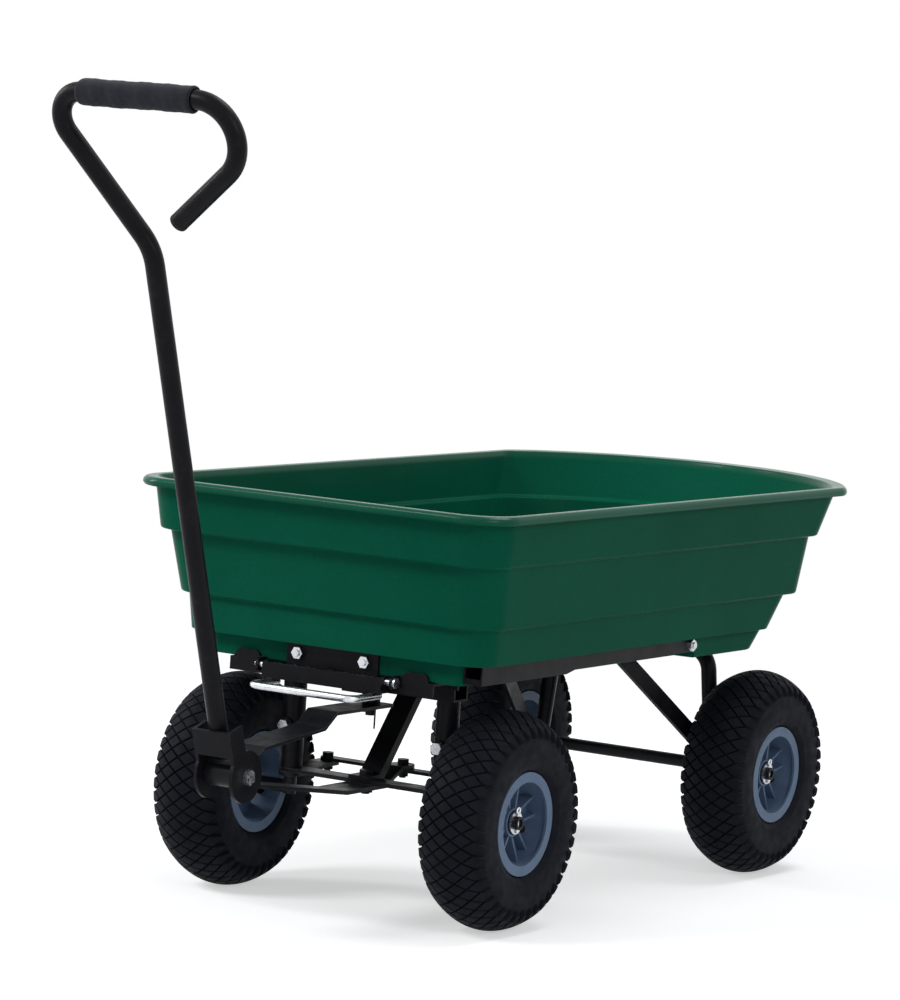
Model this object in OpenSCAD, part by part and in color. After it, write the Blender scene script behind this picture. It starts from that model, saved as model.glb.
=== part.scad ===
// Four-wheeled garden cart with a tipping tray, knuckle steering and a folding pull handle.
// Millimetres. +Z is up, the pull handle is at the -Y end, the width runs along X.
// Every piece is drawn from the front axle's middle on the ground, then moved so that
// the origin lies on the ground under the middle of the whole cart.

/* [Wheels] */
// Outside diameter of the tyre
tyre_d = 260; // [250:1:270]
// Width of the tyre at its widest
tyre_w = 84; // [80:1:88]
// Width of the tread band
tread_w = 72; // [68:1:76]
// Fall of the tread from its crown to its shoulders
crown_fall = 13; // [9:1:16]
// Depth of the tread grooves
tread_depth = 4; // [2:0.5:5]
// Lugs round the tyre in one row
tread_lugs = 36; // [28:2:40]
// Thickness of rubber under the tread grooves
tread_base = 7; // [5:0.5:9]
// Thickness of the tyre's side wall
side_wall = 5; // [4:0.5:6]
// Width of the flat foot of the tyre bead
bead_foot = 9; // [6:1:11]
// Gap between the tyre and its rim
bead_gap = 0.4; // [0.3:0.1:0.8]
// Diameter of the rim's seat under the bead
seat_d = 118; // [116:0.5:119]
// Diameter of the rim's flange
flange_d = 122.5; // [121:0.5:124]
// Thickness of the rim's flange
flange_t = 3; // [2:0.5:4]
// Width of the rim over both flanges
rim_w = 72; // [68:1:74]
// Diameter of the opening in the rim's face ring
face_d = 99; // [94:1:102]
// Thickness of the rim's barrel
barrel_t = 6; // [4:0.5:7]
// Number of spokes
spokes = 5; // [4:1:6]
// Width of a spoke at the rim's barrel, over its two ribs
spoke_w = 27; // [22:1:30]
// Width of a spoke at the hub, over its two ribs
spoke_root = 16; // [14:0.5:17]
// Thickness of the spoke's panel
spoke_t = 5; // [4:0.5:7]
// Height of the ribs that edge a spoke
rib_h = 17; // [12:1:20]
// Thickness of a spoke's rib
rib_t = 3; // [2:0.5:4]
// Diameter of the wheel's hub
hub_d = 34; // [32:1:38]
// Length of the wheel's hub
hub_len = 40; // [36:1:44]
// Outside diameter of the wheel bush
bush_d = 24; // [22:0.5:26]
// Depth of the wheel bush in the hub
bush_l = 11; // [8:1:14]
// Thickness of the bush's collar
bush_collar = 1.5; // [1:0.5:2]
// Diameter of the valve stem
valve_d = 9; // [8:0.5:10]
// Length of the valve stem past its foot
valve_l = 22; // [18:1:26]
// Rest turn of the wheels in degrees
wheel_turn = 34; // [0:1:72]

/* [Axles] */
// Distance between the left and right wheel middles
track = 374; // [366:1:390]
// Distance from the front axle to the rear axle
wheelbase = 624; // [600:1:650]
// Diameter of the axles
axle_d = 16; // [15:0.5:17]
// Wall of the hollow rear axle
axle_wall = 3; // [2:0.5:4]
// Length of axle past the outer washer
axle_tail = 5.5; // [5:0.5:8]
// Outside diameter of the axle washers
washer_d = 27; // [25:0.5:30]
// Thickness of the axle washers
washer_t = 2; // [1.5:0.25:3]
// Diameter of the wire of the cotter pins
cotter_d = 3; // [2.5:0.25:3.5]
// Radial play of shafts and pins in their bores
play = 0.05; // [0.03:0.01:0.08]
// Axial play between pieces that turn on each other
end_play = 0.3; // [0.2:0.05:0.5]

/* [Tray] */
// How far the tray's rim stands ahead of the front axle
tray_ahead = 168; // [150:1:180]
// Width of the tray over its rim
tray_w = 514; // [506:1:530]
// Distance that the rim reaches behind the rear axle
tray_over = 237; // [225:1:250]
// Wall thickness of the tray
tray_t = 4; // [3:0.5:5]
// How much the radius of the bowed rear exceeds the half width
bow_over = 28; // [22:1:40]
// Height of the rolled rim
lip_h = 10; // [8:0.5:14]
// Overhang of the rim along the sides
lip_side = 11; // [9:0.5:13]
// Overhang of the rim at the front
lip_front = 15; // [12:0.5:18]
// Overhang of the rim at the rear
lip_rear = 23; // [18:0.5:26]
// Corner radius of the rim at the front
lip_rf = 55; // [48:1:62]
// Corner radius of the rim at the rear
lip_rr = 50; // [44:1:56]
// Corner radius that each tier loses against the one above
corner_step = 4; // [2:0.5:5]

/* [Tray tiers] */
// Height of the top tier
a_h = 52; // [46:1:58]
// Draft of the top tier at the sides
a_side = 6; // [4:0.5:8]
// Draft of the top tier at the front
a_front = 9; // [6:0.5:12]
// Draft of the top tier at the rear
a_rear = 32; // [26:1:38]
// Ledge under the top tier at the sides
ab_side = 7.5; // [6:0.5:9]
// Ledge under the top tier at the front
ab_front = 13; // [9:0.5:16]
// Ledge under the top tier at the rear
ab_rear = 14; // [9:0.5:17]
// Height of the second tier
b_h = 75; // [68:1:82]
// Draft of the second tier at the sides
b_side = 10; // [8:0.5:12]
// Draft of the second tier at the front
b_front = 15; // [11:0.5:18]
// Draft of the second tier at the rear
b_rear = 13; // [10:0.5:16]
// Ledge under the second tier at the sides
bc_side = 8; // [6:0.5:9]
// Ledge under the second tier at the front
bc_front = 8; // [6:0.5:10]
// Ledge under the second tier at the rear
bc_rear = 23; // [18:0.5:27]
// Height of the third tier
c_h = 44; // [38:1:50]
// Draft of the third tier at the sides
c_side = 4.5; // [3:0.5:6]
// Draft of the third tier at the front
c_front = 3; // [2:0.5:5]
// Draft of the third tier at the rear
c_rear = 35; // [28:1:40]
// Ledge under the third tier at the sides
cd_side = 11; // [8:0.5:13]
// Ledge under the third tier at the front
cd_front = 17; // [13:0.5:20]
// Ledge under the third tier at the rear
cd_rear = 2; // [1:0.5:4]
// Corner radius of the bottom tier at the front
d_corner = 12; // [10:0.5:16]
// Height of the bottom tier
d_h = 26; // [25:0.5:30]
// Draft of the bottom tier at the rear
d_rear = 29; // [24:1:34]
// Fall of the two upper ledges, so that they drain
ledge_fall = 1; // [0.5:0.25:2]

/* [Tray fittings] */
// Width of the side rails
rail_w = 25; // [23:0.5:26]
// Height of the side rails
rail_h = 18; // [17:0.5:20]
// Wall of the side rails
rail_t = 2; // [1.5:0.25:3]
// Length of the side rails
rail_l = 504; // [480:1:520]
// Distance of the rail's front end behind the tray's front wall
rail_set = 9; // [7:0.5:12]
// Slant of the recess behind a rail's rear end
rail_slant = 2; // [1:0.5:3]
// Length of the doubled front of a rail
shoe_l = 193; // [180:1:206]
// Height of the doubling under a rail
shoe_h = 5; // [4:0.5:5.5]
// Distance of the rail bolt from the rail's rear end
rail_bolt_in = 11; // [9:0.5:16]
// Gap round a rail in the recess of the tray
rail_gap = 0.3; // [0.2:0.1:0.6]
// Width of the latch bracket
strike_w = 128; // [120:1:132]
// Height of the latch bracket
strike_h = 33; // [30:0.5:36]
// Thickness of the latch bracket
strike_t = 3; // [2.5:0.25:3.5]
// Distance of the latch bracket's top below the third tier
strike_drop = 1; // [0.5:0.25:2]
// Reach of the bracket's strike lip
strike_lip = 4; // [3:0.25:4.5]
// Width of the bracket's strike lip
strike_lip_w = 60; // [40:1:80]
// Distance between the two bracket bolts
strike_bolts = 93; // [86:1:98]
// Distance from the foot of an arch leg in to the middle of a hinge saddle
saddle_off = 60; // [59:0.5:64]
// Width of a hinge saddle
saddle_w = 28; // [24:1:29]
// Length of the saddle's plate in front of the arch
saddle_l = 66; // [58:1:74]
// Thickness of a hinge saddle
saddle_t = 3; // [2.5:0.25:4]
// Distance between the two bolts of a saddle
saddle_bolts = 26; // [22:1:30]
// Distance of the saddle's rear bolt in front of the arch
saddle_bolt_in = 27; // [25:1:30]

/* [Rear frame] */
// Diameter of the arch tube
arch_d = 20; // [19:0.5:22]
// Wall of the arch tube
arch_wall = 2; // [1.5:0.25:3]
// Height of the arch over the rear axle
arch_h = 148.5; // [142:0.5:154]
// Distance from the foot of an arch leg to the middle of its wheel
arch_off = 59; // [57.5:0.5:62]
// Outward lean of the arch legs in degrees
arch_lean = 6; // [4:0.25:8]
// Bend radius of the arch tube
arch_bend = 30; // [26:1:34]
// Length of the arch legs below the axle
arch_toe = 15; // [12:0.5:20]
// Width of the diagonal braces
brace_w = 22; // [18:1:26]
// Thickness of the diagonal braces
brace_t = 5; // [4:0.5:6]
// Distance of the brace tops in front of the rear axle
brace_run = 194; // [180:1:210]
// Distance between the brace tops
brace_tops = 190; // [180:1:200]
// Width of the strap that carries the brace tops
strap_w = 36; // [30:1:44]
// Thickness of that strap
strap_t = 8; // [6:0.5:10]
// Length of that strap
strap_l = 226; // [216:1:240]

/* [Front frame] */
// Width of the backbone tube
spine_w = 40; // [36:1:46]
// Height of the backbone tube
spine_h = 20; // [18:0.5:22]
// Wall of the backbone tube
spine_t = 2; // [1.5:0.25:3]
// Width of the cross beam over the kingpins
beam_w = 30; // [28:1:34]
// Height of the cross beam
beam_h = 29; // [27:0.5:31]
// Wall of the cross beam
beam_t = 2.5; // [2:0.25:3.5]
// Distance from a kingpin to the middle of its wheel
king_off = 79; // [76:0.5:82]
// Diameter of the kingpin posts
post_d = 28; // [26:0.5:30]
// Diameter of the kingpins
king_d = 16; // [15:0.5:17]
// Engagement of the kingpins in their posts
king_in = 80; // [70:1:90]
// Distance from the cross beam down to the post bolts
post_bolt_drop = 56; // [48:1:62]
// Length of the boss under a post bolt
post_boss = 4; // [3:0.5:6]
// Thickness of the steering plates
steer_t = 5; // [4:0.5:6]
// Height of the steering plates over the front axle
steer_up = 14; // [13.5:0.5:17]
// Width of the lower tie bar
low_bar_w = 28; // [26:1:30]
// Thickness of the lower tie bar
low_bar_t = 5; // [4:0.5:6]
// Width of the centre strut
strut_w = 28; // [24:1:32]
// Thickness of the strut along the cart
strut_t = 11; // [9:0.5:13]
// Distance from the strut's foot back to its top
strut_run = 94; // [84:1:100]
// Reach of the strut's foot in front of the pivot
strut_foot = 18; // [15:0.5:22]
// Length of the front bolster across the cart
bolster_w = 284; // [276:1:290]
// Depth of the bolster along the cart
bolster_l = 58; // [52:1:64]
// Height of the bolster's front flange
bolster_h = 16; // [14:0.5:18]
// Thickness of the bolster's plate
bolster_t = 3; // [2.5:0.25:4]
// Gap between the bolster's front and the tray's front wall
bolster_gap = 2; // [1.5:0.25:2.5]
// Distance from the cart's middle to the inner edge of a tab
tab_x = 101; // [98:0.5:106]
// Width of a tab
tab_w = 33; // [28:1:38]
// Height of a tab over the bolster
tab_h = 10; // [8:0.5:12]
// Corner radius of a tab
tab_r = 6; // [4:0.5:8]
// Gap between the tray and what it rests on
rest_gap = 0.3; // [0.2:0.05:0.5]

/* [Latch] */
// Diameter of the lever's pin
pin_d = 8; // [7:0.5:9]
// Distance from the bolster's front to the lever's pin
pin_out = 9; // [8.5:0.25:10]
// Distance from the tray's underside down to the lever's pin
pin_drop = 4; // [3:0.25:5]
// Distance from the cart's middle to the inner face of a pin lug
lug_x = 92; // [90:0.5:95]
// Thickness of a pin lug
lug_t = 3; // [2.5:0.25:4]
// Radius of the round end of a pin lug
lug_r = 8; // [7:0.5:9]
// Half width of the release lever
lever_x = 83; // [81:0.5:86]
// Thickness of the release lever
lever_t = 3; // [2.5:0.25:3.5]
// Reach of the lever's plate in front of its pin
lever_l = 11; // [9:0.5:14]
// Height of the lever's front flange over its pin
lever_up = 5; // [3:0.5:6]
// Width of the lever's hook
hook_w = 24; // [18:1:30]
// Wall of the hook round the pin
hook_t = 1.4; // [1.2:0.1:1.8]
// Diameter of the wire of the release pull
pull_d = 9; // [8:0.5:10]
// Width of the release pull between its leg middles
pull_w = 142; // [138:1:146]
// Distance from the lever's pin to the front of the pull
pull_l = 52; // [46:0.5:57]
// Bend radius of the release pull
pull_r = 12; // [10:0.5:16]

/* [Steering] */
// Length of the steering arms and of the yoke's tail
arm_l = 81; // [76:1:86]
// Width of the steering arms
arm_w = 28; // [26:1:30]
// Rise of the steering arms to the tie rod
arm_rise = 6; // [4:0.5:8]
// Width of the tie rod
rod_w = 18; // [16:0.5:20]
// Thickness of the tie rod
rod_t = 4; // [3:0.5:5]
// Diameter of the tie rod bolts
rod_bolt_d = 8; // [7:0.5:9]
// Width of the yoke plates
yoke_w = 42; // [38:0.5:43]
// Thickness of the yoke's top plate
yoke_t = 4; // [3.5:0.25:5]
// Distance from the steering pivot to the handle pivot
yoke_l = 294; // [285:1:305]
// Height of the handle pivot over the front axle
yoke_up = 57; // [52:0.5:62]
// Height of the yoke's top plate over its bottom plate
yoke_rise = 97; // [94:0.5:99]
// Length of the top plate's level rear part in front of the pivot
yoke_flat = 104; // [96:1:110]
// Drop of the top plate's step
yoke_step = 16; // [13:0.5:18]
// Length of the top plate's step
yoke_step_l = 23; // [20:1:27]
// Length of the bottom plate's level part in front of the pivot
yoke_low = 72; // [66:1:80]
// Diameter of the yoke's head tube
head_d = 30; // [28:0.5:32]
// Length of the yoke's head tube
head_l = 43; // [42.5:0.1:43.4]
// Diameter of the upper pivot pin
top_pin_d = 12; // [11:0.5:13]
// Diameter of the boss round the upper pivot pin
top_boss_d = 22; // [20:0.5:26]
// Diameter of the lower pivot bolt
low_pin_d = 10; // [9:0.5:11]

/* [Pull handle] */
// Forward lean of the handle in degrees
handle_lean = 18.6; // [14:0.1:24]
// Diameter of the handle's tube
handle_d = 22; // [21:0.5:23]
// Wall of the handle's tube
handle_wall = 2; // [1.5:0.25:3]
// Distance of the tube in front of the handle pivot
handle_off = 6; // [4:0.5:8]
// Distance from the pivot to the lower end of the tube
handle_base = 35; // [34:0.5:42]
// Length of the straight tube
handle_l1 = 577; // [540:1:620]
// Bend radius where the tube leans to the left
handle_r1 = 60; // [50:1:70]
// Lean of the loop's left side in degrees
handle_a1 = 36; // [33:0.5:39]
// Length of the loop's left side
handle_l2 = 137; // [128:1:146]
// Bend radius at the loop's upper left
handle_r2 = 30; // [26:1:34]
// Length of the grip bar
handle_l3 = 152; // [142:1:162]
// Bend radius at the loop's right
handle_r3 = 46; // [42:1:50]
// Bend angle at the loop's right
handle_a3 = 141; // [136:0.5:145]
// Length of the free end
handle_l4 = 91; // [80:1:98]
// Length of the plug's head in the free end
cap_h = 4; // [3:0.5:6]
// Outside diameter of the foam grip
grip_d = 31; // [29:0.5:33]
// Length of the foam grip
grip_l = 150; // [136:1:152]
// Radial gap between the foam grip and the tube
grip_gap = 0.2; // [0.1:0.05:0.3]
// Radius of the clevis cheeks
cheek_r = 30.5; // [29:0.5:33]
// Thickness of the clevis plates
cheek_t = 4; // [3.5:0.25:5]
// Gap between the two cheeks
cheek_gap = 44; // [43.8:0.1:45]
// Length of the clevis along the tube
clevis_l = 62; // [56:1:72]
// Diameter of the handle's pivot bolt
handle_bolt_d = 10; // [9:0.5:11]

/* [Hidden] */
$fn = 64;
eps = 0.01;
bend_draw = 0.05;
bend_lap = 0.5;

// places across the cart
king_track = track - 2 * king_off;
arch_x = track / 2 - arch_off;
saddle_x = arch_x - saddle_off;

// heights
z_axle = tyre_d / 2;
z_arch = z_axle + arch_h;
arch_clear = 0.5;
z_tray = z_arch + arch_d / 2 + arch_clear + saddle_t;
z_frame = z_tray - rest_gap;
z_floor = z_tray + tray_t;
z_cd = z_tray + d_h;
z_bc = z_cd + c_h;
z_ab = z_bc + b_h;
z_lip = z_ab + a_h;
z_rim = z_lip + lip_h;
z_beam = z_frame - 1 - beam_h;
z_spine = z_tray - 4 - strap_t;
z_plate = z_axle + steer_up;
z_arm_top = z_plate + steer_t;
z_bar = z_arm_top + end_play;
z_post = z_bar + low_bar_t;
z_top_plate = z_plate + yoke_rise;
z_head = z_axle + yoke_up;

// places along the cart
y_rear = wheelbase + tray_over;
y_rim_front = -tray_ahead;
y_c_front = y_rim_front + lip_front + a_front + ab_front + b_front + bc_front + c_front;
y_front = y_c_front + cd_front;
y_strike = y_front - strike_t;
rail_y0 = y_front + rail_set;
rail_y1 = rail_y0 + rail_l;
y_bol = y_front - bolster_gap - bolster_t;
y_pin = y_bol - pin_out;
z_pin = z_tray - pin_drop;
handle_top = handle_base + handle_l1 + handle_r1 * sin(handle_a1) + handle_l2 * cos(handle_a1)
  + handle_r2 * (1 + sin(handle_a1));
y_grip = -yoke_l - handle_top * sin(handle_lean) - handle_off * cos(handle_lean);
y_mid = (y_rear + y_grip - grip_d / 2) / 2;

// wheel stations, measured outward from a wheel's middle plane
hub_end = hub_len / 2;
bush_end = hub_end + bush_collar;
washer_in = bush_end + end_play / 2;
axle_end = washer_in + washer_t + axle_tail;
cotter_x = washer_in + washer_t + cotter_d / 2 + end_play;

module placed() {
  translate([0, -y_mid, 0]) children();
}

// general shapes

module xcyl(r, x0, x1) {
  translate([x0, 0, 0]) rotate([0, 90, 0]) cylinder(r = r, h = x1 - x0);
}

module ycyl(r, y0, y1) {
  translate([0, y0, 0]) rotate([-90, 0, 0]) cylinder(r = r, h = y1 - y0);
}

module box(x0, x1, y0, y1, z0, z1) {
  translate([x0, y0, z0]) cube([x1 - x0, y1 - y0, z1 - z0]);
}

// hollow box section along Y, open at both ends
module box_tube_y(x0, x1, y0, y1, z0, z1, t) {
  difference() {
    box(x0, x1, y0, y1, z0, z1);
    box(x0 + t, x1 - t, y0 - 1, y1 + 1, z0 + t, z1 - t);
  }
}

// hollow box section along X, open at both ends
module box_tube_x(x0, x1, y0, y1, z0, z1, t) {
  difference() {
    box(x0, x1, y0, y1, z0, z1);
    box(x0 - 1, x1 + 1, y0 + t, y1 - t, z0 + t, z1 - t);
  }
}

// a profile in the Y-Z plane, drawn as [y, z], given a width along X about the middle
module side_profile(w) {
  translate([-w / 2, 0, 0]) rotate([90, 0, 90]) linear_extrude(w) children();
}

// bolt along -Z with its head on the plane z = 0; the nut starts at grip below it
module hex_bolt(d, grip, head_h, nut_h, tail) {
  cylinder(d = d * 1.9, h = head_h, $fn = 6);
  translate([0, 0, -grip - nut_h - tail]) cylinder(d = d, h = grip + nut_h + tail + eps);
}

module hex_nut(d, grip, nut_h) {
  translate([0, 0, -grip - nut_h]) difference() {
    cylinder(d = d * 1.9, h = nut_h, $fn = 6);
    translate([0, 0, -1]) cylinder(d = d + 2 * play, h = nut_h + 2);
  }
}

// cotter pin along Z through its middle, with its eye at the top
module cotter(d, l) {
  translate([0, 0, -l / 2]) cylinder(d = d, h = l, $fn = 24);
  translate([0, 0, l / 2 + d * 0.9]) rotate([90, 0, 0]) rotate_extrude($fn = 32)
    translate([d * 1.1, 0]) circle(d = d * 0.9, $fn = 20);
}

// bent rod: each step is [length, 0] for a straight or [radius, angle] for a bend,
// a positive angle bends to -X; the rod starts at the origin along +Z
// a bend draws the rod in a little, and the straights lap over its ends
module bent_rod(steps, r, i = 0) {
  if (i < len(steps)) {
    s = steps[i];
    if (s[1] == 0) {
      z0 = i == 0 ? 0 : -bend_lap;
      z1 = s[0] + (i == len(steps) - 1 ? 0 : bend_lap);
      translate([0, 0, z0]) cylinder(r = r, h = z1 - z0);
      translate([0, 0, s[0]]) bent_rod(steps, r, i + 1);
    } else {
      side = s[1] > 0 ? -1 : 1;
      turn = abs(s[1]);
      translate([side * s[0], 0, 0]) mirror([side > 0 ? 1 : 0, 0, 0]) rotate([90, 0, 0])
        rotate_extrude(angle = turn, $fn = 96) translate([s[0], 0]) circle(r = r - bend_draw);
      translate([side * s[0], 0, 0]) rotate([0, side * turn, 0]) translate([-side * s[0], 0, 0])
        bent_rod(steps, r, i + 1);
    }
  }
}

// the same run as a tube, open at its two straight ends
module bent_tube(steps, r, wall) {
  last = len(steps) - 1;
  longer = [for (i = [0:last]) i == 0 || i == last ? steps[i] + [1, 0] : steps[i]];
  difference() {
    bent_rod(steps, r);
    translate([0, 0, -1]) bent_rod(longer, r - wall);
  }
}

// flat link in the X-Y plane between two points, with round ends
module link_2d(a, b, w) {
  v = b - a;
  translate(a) circle(d = w);
  translate(b) circle(d = w);
  translate(a) rotate(atan2(v[1], v[0])) translate([0, -w / 2]) square([norm(v), w]);
}

// tray

corner_n = 6;
bow_n = 6;

function arc(c, r, a0, a1, n) = [for (i = [0:n]) let (a = a0 + (a1 - a0) * i / n)
  [c[0] + r * cos(a), c[1] + r * sin(a)]];

// plan outline of the tray: straight sides and front, bowed rear, and a step of the
// given depth in each side from the front back to the end of the rail; it starts at the
// middle of the rear, from where the whole outline is in sight
function plan(w, yf, yb, rf, rr, step) =
  let (bow = w + bow_over, cy = yb - bow, kx = w - rr,
    ky = cy + sqrt(pow(bow - rr, 2) - pow(kx, 2)), a = atan2(ky - cy, kx),
    ye = rail_y1 + rail_gap, n = w - step)
  concat([for (i = [0:bow_n - 1]) let (t = 90 + (90 - a) * i / bow_n) [bow * cos(t), cy + bow * sin(t)]],
    arc([-kx, ky], rr, 180 - a, 180, corner_n), [[-w, ye + rail_slant], [-n, ye]],
    arc([-n + rf, yf + rf], rf, 180, 270, corner_n),
    arc([n - rf, yf + rf], rf, 270, 360, corner_n), [[n, ye], [w, ye + rail_slant]],
    arc([kx, ky], rr, 0, a, corner_n),
    [for (i = [1:bow_n - 1]) let (t = a + (90 - a) * i / bow_n) [bow * cos(t), cy + bow * sin(t)]]);

// one level of the tray: z, then how far it lies inside the rim, tier number and side step
function level(z, s, f, r, k, step, in) = [for (p = plan(tray_w / 2 - s - in,
  y_rim_front + f + in, y_rear - r - in, (step > 0 ? d_corner : lip_rf - corner_step * k) - in,
  max(lip_rr - corner_step * k / 2 - in, 10), step)) [p[0], p[1], z]];

s1 = lip_side;
s2 = s1 + a_side;
s3 = s2 + ab_side;
s4 = s3 + b_side;
s5 = s4 + bc_side;
s6 = s5 + c_side;
s7 = s6 + cd_side;
f1 = lip_front;
f2 = f1 + a_front;
f3 = f2 + ab_front;
f4 = f3 + b_front;
f5 = f4 + bc_front;
f6 = f5 + c_front;
f7 = f6 + cd_front;
r1 = lip_rear;
r2 = r1 + a_rear;
r3 = r2 + ab_rear;
r4 = r3 + b_rear;
r5 = r4 + bc_rear;
r6 = r5 + c_rear;
r7 = r6 + cd_rear;
r8 = r7 + d_rear;
rail_step = rail_w + rail_gap;
lip_curl = lip_h / 2;

tray_levels = [
  level(z_tray, s7, f7, r8, 5, rail_step, 0),
  level(z_cd, s7, f7, r7, 5, rail_step, 0),
  level(z_cd, s6, f6, r6, 4, 0, 0),
  level(z_bc - ledge_fall, s5, f5, r5, 4, 0, 0),
  level(z_bc, s4, f4, r4, 3, 0, 0),
  level(z_ab - ledge_fall, s3, f3, r3, 3, 0, 0),
  level(z_ab, s2, f2, r2, 2, 0, 0),
  level(z_lip, s1, f1, r1, 1, 0, 0),
  level(z_lip - lip_curl / 5, 2, 2, 2, 0, 0, 0),
  level(z_lip + lip_curl / 2, 0, 0, 0, 0, 0, 0),
  level(z_lip + 1.3 * lip_curl, 0.6, 0.6, 0.6, 0, 0, 0),
  level(z_rim - lip_curl / 8, 3, 3, 3, 0, 0, 0),
  level(z_rim, lip_curl + 1, lip_curl + 1, lip_curl + 1, 0, 0, 0),
  level(z_rim - lip_curl / 8, s1, f1, r1, 1, 0, tray_t / 2),
  level(z_rim - lip_curl, s1, f1, r1, 1, 0, tray_t),
  level(z_ab + tray_t, s2, f2, r2, 2, 0, tray_t),
  level(z_ab + tray_t - ledge_fall, s3, f3, r3, 3, 0, tray_t),
  level(z_bc + tray_t, s4, f4, r4, 3, 0, tray_t),
  level(z_bc + tray_t - ledge_fall, s5, f5, r5, 4, 0, tray_t),
  level(z_cd + tray_t, s6, f6, r6, 4, 0, tray_t),
  level(z_cd + tray_t, s7, f7, r7, 5, rail_step, tray_t),
  level(z_floor, s7, f7, r8, 5, rail_step, tray_t)];

// closed skin over a stack of rings with equal numbers of points
module ring_stack(rings) {
  n = len(rings[0]);
  m = len(rings);
  points = [for (r = rings, p = r) p];
  sides = [for (k = [0:m - 2], i = [0:n - 1]) let (j = (i + 1) % n)
    each [[k * n + i, k * n + n + i, k * n + n + j], [k * n + i, k * n + n + j, k * n + j]]];
  foot = [for (i = [0:n - 1]) i];
  head = [for (i = [n - 1:-1:0]) (m - 1) * n + i];
  polyhedron(points, concat(sides, [foot, head]), convexity = 12);
}

bolt_head = 5.5;
bracket_bolt_d = 8;
sink_h = tray_t * 0.7;
bolt_tail = 2.5;
bracket_bolt_z = z_cd - strike_drop - strike_h / 3;
rail_bolt_y = rail_y1 - rail_bolt_in;
rail_bolt_z = z_cd - rail_h / 2;
rail_x = tray_w / 2 - s7;
rail_wall = rail_x - rail_step;

// bolt along -Z with a countersunk head flush with the plane z = 0
module flush_bolt(grip, tail) {
  d = bracket_bolt_d;
  translate([0, 0, -sink_h]) cylinder(d1 = d, d2 = 1.8 * d, h = sink_h);
  translate([0, 0, -grip - bolt_head - tail]) cylinder(d = d,
    h = grip + bolt_head + tail - sink_h + eps);
}

// hole for that bolt through the tray's wall
module flush_hole() {
  d = bracket_bolt_d + 2 * play;
  translate([0, 0, -sink_h]) cylinder(d1 = d, d2 = 1.8 * bracket_bolt_d + 2 * play, h = sink_h);
  cylinder(d = 1.8 * bracket_bolt_d + 2 * play, h = 1);
  translate([0, 0, -tray_t - 1]) cylinder(d = d, h = tray_t + 1 - sink_h + eps);
}

module bracket_bolt_places() {
  for (s = [-1, 1]) translate([s * strike_bolts / 2, 0, bracket_bolt_z]) children();
}

module saddle_bolt_places() {
  for (s = [-1, 1], k = [0, 1])
    translate([s * saddle_x, wheelbase - saddle_bolt_in - k * saddle_bolts, 0]) children();
}

module tray() {
  color("darkgreen") difference() {
    ring_stack(tray_levels);
    bracket_bolt_places() translate([0, y_front + tray_t, 0]) rotate([-90, 0, 0]) flush_hole();
    for (s = [0, 1]) mirror([s, 0, 0])
      translate([rail_wall - tray_t, rail_bolt_y, rail_bolt_z]) rotate([0, -90, 0]) flush_hole();
    saddle_bolt_places() translate([0, 0, z_floor]) flush_hole();
  }
}

module rail() {
  difference() {
    union() {
      box_tube_y(rail_x - rail_w, rail_x, rail_y0, rail_y1, z_cd - rail_h, z_cd, rail_t);
      translate([rail_x - rail_w / 2, 0, 0]) side_profile(rail_w) polygon([[rail_y0, z_cd - rail_h + eps],
        [rail_y0, z_cd - rail_h - shoe_h], [rail_y0 + shoe_l, z_cd - rail_h - shoe_h],
        [rail_y0 + shoe_l + 5 * shoe_h, z_cd - rail_h + eps]]);
    }
    translate([rail_x, rail_bolt_y, rail_bolt_z])
      xcyl(bracket_bolt_d / 2 + play, -rail_w - 1, 1);
  }
}

module rail_right() {
  color("#1c1d1f") rail();
}

module rail_left() {
  color("#1c1d1f") mirror([1, 0, 0]) rail();
}

module rail_bolts() {
  grip = rail_w + rail_gap + tray_t;
  color("silver") for (s = [0, 1]) mirror([s, 0, 0])
    translate([rail_wall - tray_t, rail_bolt_y, rail_bolt_z]) rotate([0, -90, 0]) {
      flush_bolt(grip, bolt_tail);
      hex_nut(bracket_bolt_d, grip, bolt_head);
    }
}

module latch_bracket() {
  z1 = z_cd - strike_drop;
  color("#1c1d1f") difference() {
    union() {
      box(-strike_w / 2, strike_w / 2, y_strike, y_front, z1 - strike_h, z1);
      box(-strike_lip_w / 2, strike_lip_w / 2, y_strike - strike_lip, y_strike + eps,
        z1 - strike_h, z1 - strike_h + strike_t);
    }
    bracket_bolt_places() ycyl(bracket_bolt_d / 2 + play, y_strike - 1, y_front + 1);
  }
}

module bracket_bolts() {
  grip = strike_t + tray_t;
  color("silver") bracket_bolt_places() translate([0, y_front + tray_t, 0]) rotate([-90, 0, 0]) {
    flush_bolt(grip, bolt_tail);
    hex_nut(bracket_bolt_d, grip, bolt_head);
  }
}

module hinge_saddles() {
  color("#1c1d1f") for (s = [-1, 1]) difference() {
    union() {
      translate([s * saddle_x, wheelbase, z_arch])
        xcyl(arch_d / 2 + 2 * play + saddle_t, -saddle_w / 2, saddle_w / 2);
      box(s * saddle_x - saddle_w / 2, s * saddle_x + saddle_w / 2,
        wheelbase - saddle_l, wheelbase, z_tray - saddle_t, z_tray);
    }
    translate([s * saddle_x, wheelbase, z_arch])
      xcyl(arch_d / 2 + 2 * play, -saddle_w, saddle_w);
    saddle_bolt_places() translate([0, 0, z_tray - saddle_t - 1])
      cylinder(d = bracket_bolt_d + 2 * play, h = saddle_t + 2);
  }
}

module saddle_bolts_set() {
  grip = tray_t + saddle_t;
  color("silver") saddle_bolt_places() translate([0, 0, z_floor]) {
    flush_bolt(grip, bolt_tail);
    hex_nut(bracket_bolt_d, grip, bolt_head);
  }
}

// front frame

notch_x = strike_w / 2 + 5;

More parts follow.
